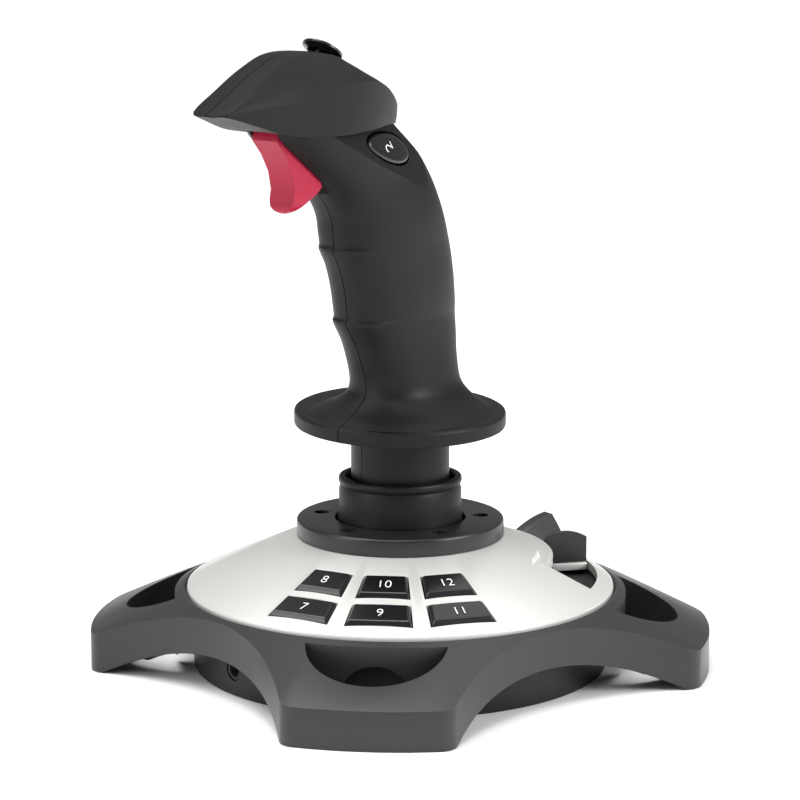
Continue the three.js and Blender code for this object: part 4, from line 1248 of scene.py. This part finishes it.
@dataclass
class InnerPieces:
    """The frame's own pieces that stay as they are and only get a finish."""

    finishes: dict[Finish, tuple[str, ...]] = field(default_factory=lambda: {
        PAD_RUBBER: ("cable_grommet", "key_mat", "foot_pad_1", "foot_pad_2", "foot_pad_3", "foot_pad_4"),
        SPRING_STEEL: ("ballast_plate", "centring_spring", "gimbal_cross", "trigger_pin", "handle_screw_1",
                       "handle_screw_2", "handle_screw_3"),
        BOARD_GREEN: ("main_board", "key_board", "handle_board"),
        ACETAL_WHITE: ("gimbal_post", "stick_fork", "twist_spindle", "hat_rocker"),
        TUB_BLACK: ("throttle_track", "throttle_sensor", "pitch_sensor", "roll_sensor", "twist_sensor",
                    "trigger_switch", "button_2_switch", "hat_switch"),
    })

    def dress(self) -> None:
        """Gives each node its finish."""
        for finish, names in self.finishes.items():
            for name in names:
                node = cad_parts[name]
                node.data.materials.clear()
                node.data.materials.append(finish.material())
                LOG.info("%s: %s", name, finish.name)


@dataclass
class Studio:
    """The pale floor, the lights and the camera, in metres and degrees."""

    camera_at: Row = (-0.7489, 0.6087, 0.2762)
    camera_pitch: float = 78.96
    camera_turn: float = 230.9
    lens: float = 135.0
    floor_size: float = 40.0
    lights: tuple[tuple[str, Point, float, float], ...] = (
        ("top_light", (0.0, -0.35, 1.5), 1.6, 9.0),
        ("left_strip", (0.3, 1.5, 0.6), 0.8, 9.0),
        ("right_strip", (-1.25, -0.6, 0.75), 0.7, 20.0),
    )
    sun: float = 2.9

    def build_floor(self) -> None:
        """Adds the floor."""
        bpy.ops.mesh.primitive_plane_add(size=self.floor_size)
        floor = bpy.context.object
        floor.name = "studio_floor"
        paper = bpy.data.materials.new("floor_paper")
        paper.use_nodes = True
        shader = paper.node_tree.nodes[SHADER]
        shader.inputs["Base Color"].default_value = (0.9, 0.9, 0.9, 1)
        shader.inputs["Roughness"].default_value = 0.9
        floor.data.materials.append(paper)

    def build_lights(self) -> None:
        """Adds the soft lights and the pale surroundings."""
        for name, where, size, power in self.lights:
            bpy.ops.object.light_add(type="AREA", location=where)
            lamp = bpy.context.object
            lamp.name = name
            lamp.data.size = size
            lamp.data.energy = power
            lamp.rotation_euler = (Vector((0, 0, 0.1)) - Vector(where)).to_track_quat("-Z", "Y").to_euler()
        bpy.ops.object.light_add(type="SUN", rotation=(math.radians(-18), math.radians(6), 0))
        bpy.context.object.data.energy = self.sun
        bpy.context.object.data.angle = math.radians(50)
        world = bpy.data.worlds.new("studio") if not bpy.context.scene.world else bpy.context.scene.world
        bpy.context.scene.world = world
        world.use_nodes = True
        world.node_tree.nodes["Background"].inputs["Color"].default_value = (1, 1, 1, 1)
        world.node_tree.nodes["Background"].inputs["Strength"].default_value = 0.28

    def build_camera(self) -> None:
        """Adds the camera."""
        turn = (math.radians(self.camera_pitch), 0, math.radians(self.camera_turn))
        bpy.ops.object.camera_add(location=self.camera_at, rotation=turn)
        camera = bpy.context.object
        camera.data.lens = self.lens
        camera.data.sensor_width = 36
        bpy.context.scene.camera = camera
        bpy.context.scene.view_settings.view_transform = "Standard"

    def dress(self) -> None:
        """Builds the studio."""
        self.build_floor()
        self.build_lights()
        self.build_camera()


def main() -> None:
    """Builds each part of the scene in order."""
    base = (LeggedBase(), ConeCover(), KeyField(), Gimbal(), Throttle())
    for maker in (Studio(), InnerPieces(), *base, Handle(), Controls()):
        LOG.info("building %s", type(maker).__name__)
        maker.dress()


if __name__ == "__main__":
    main()
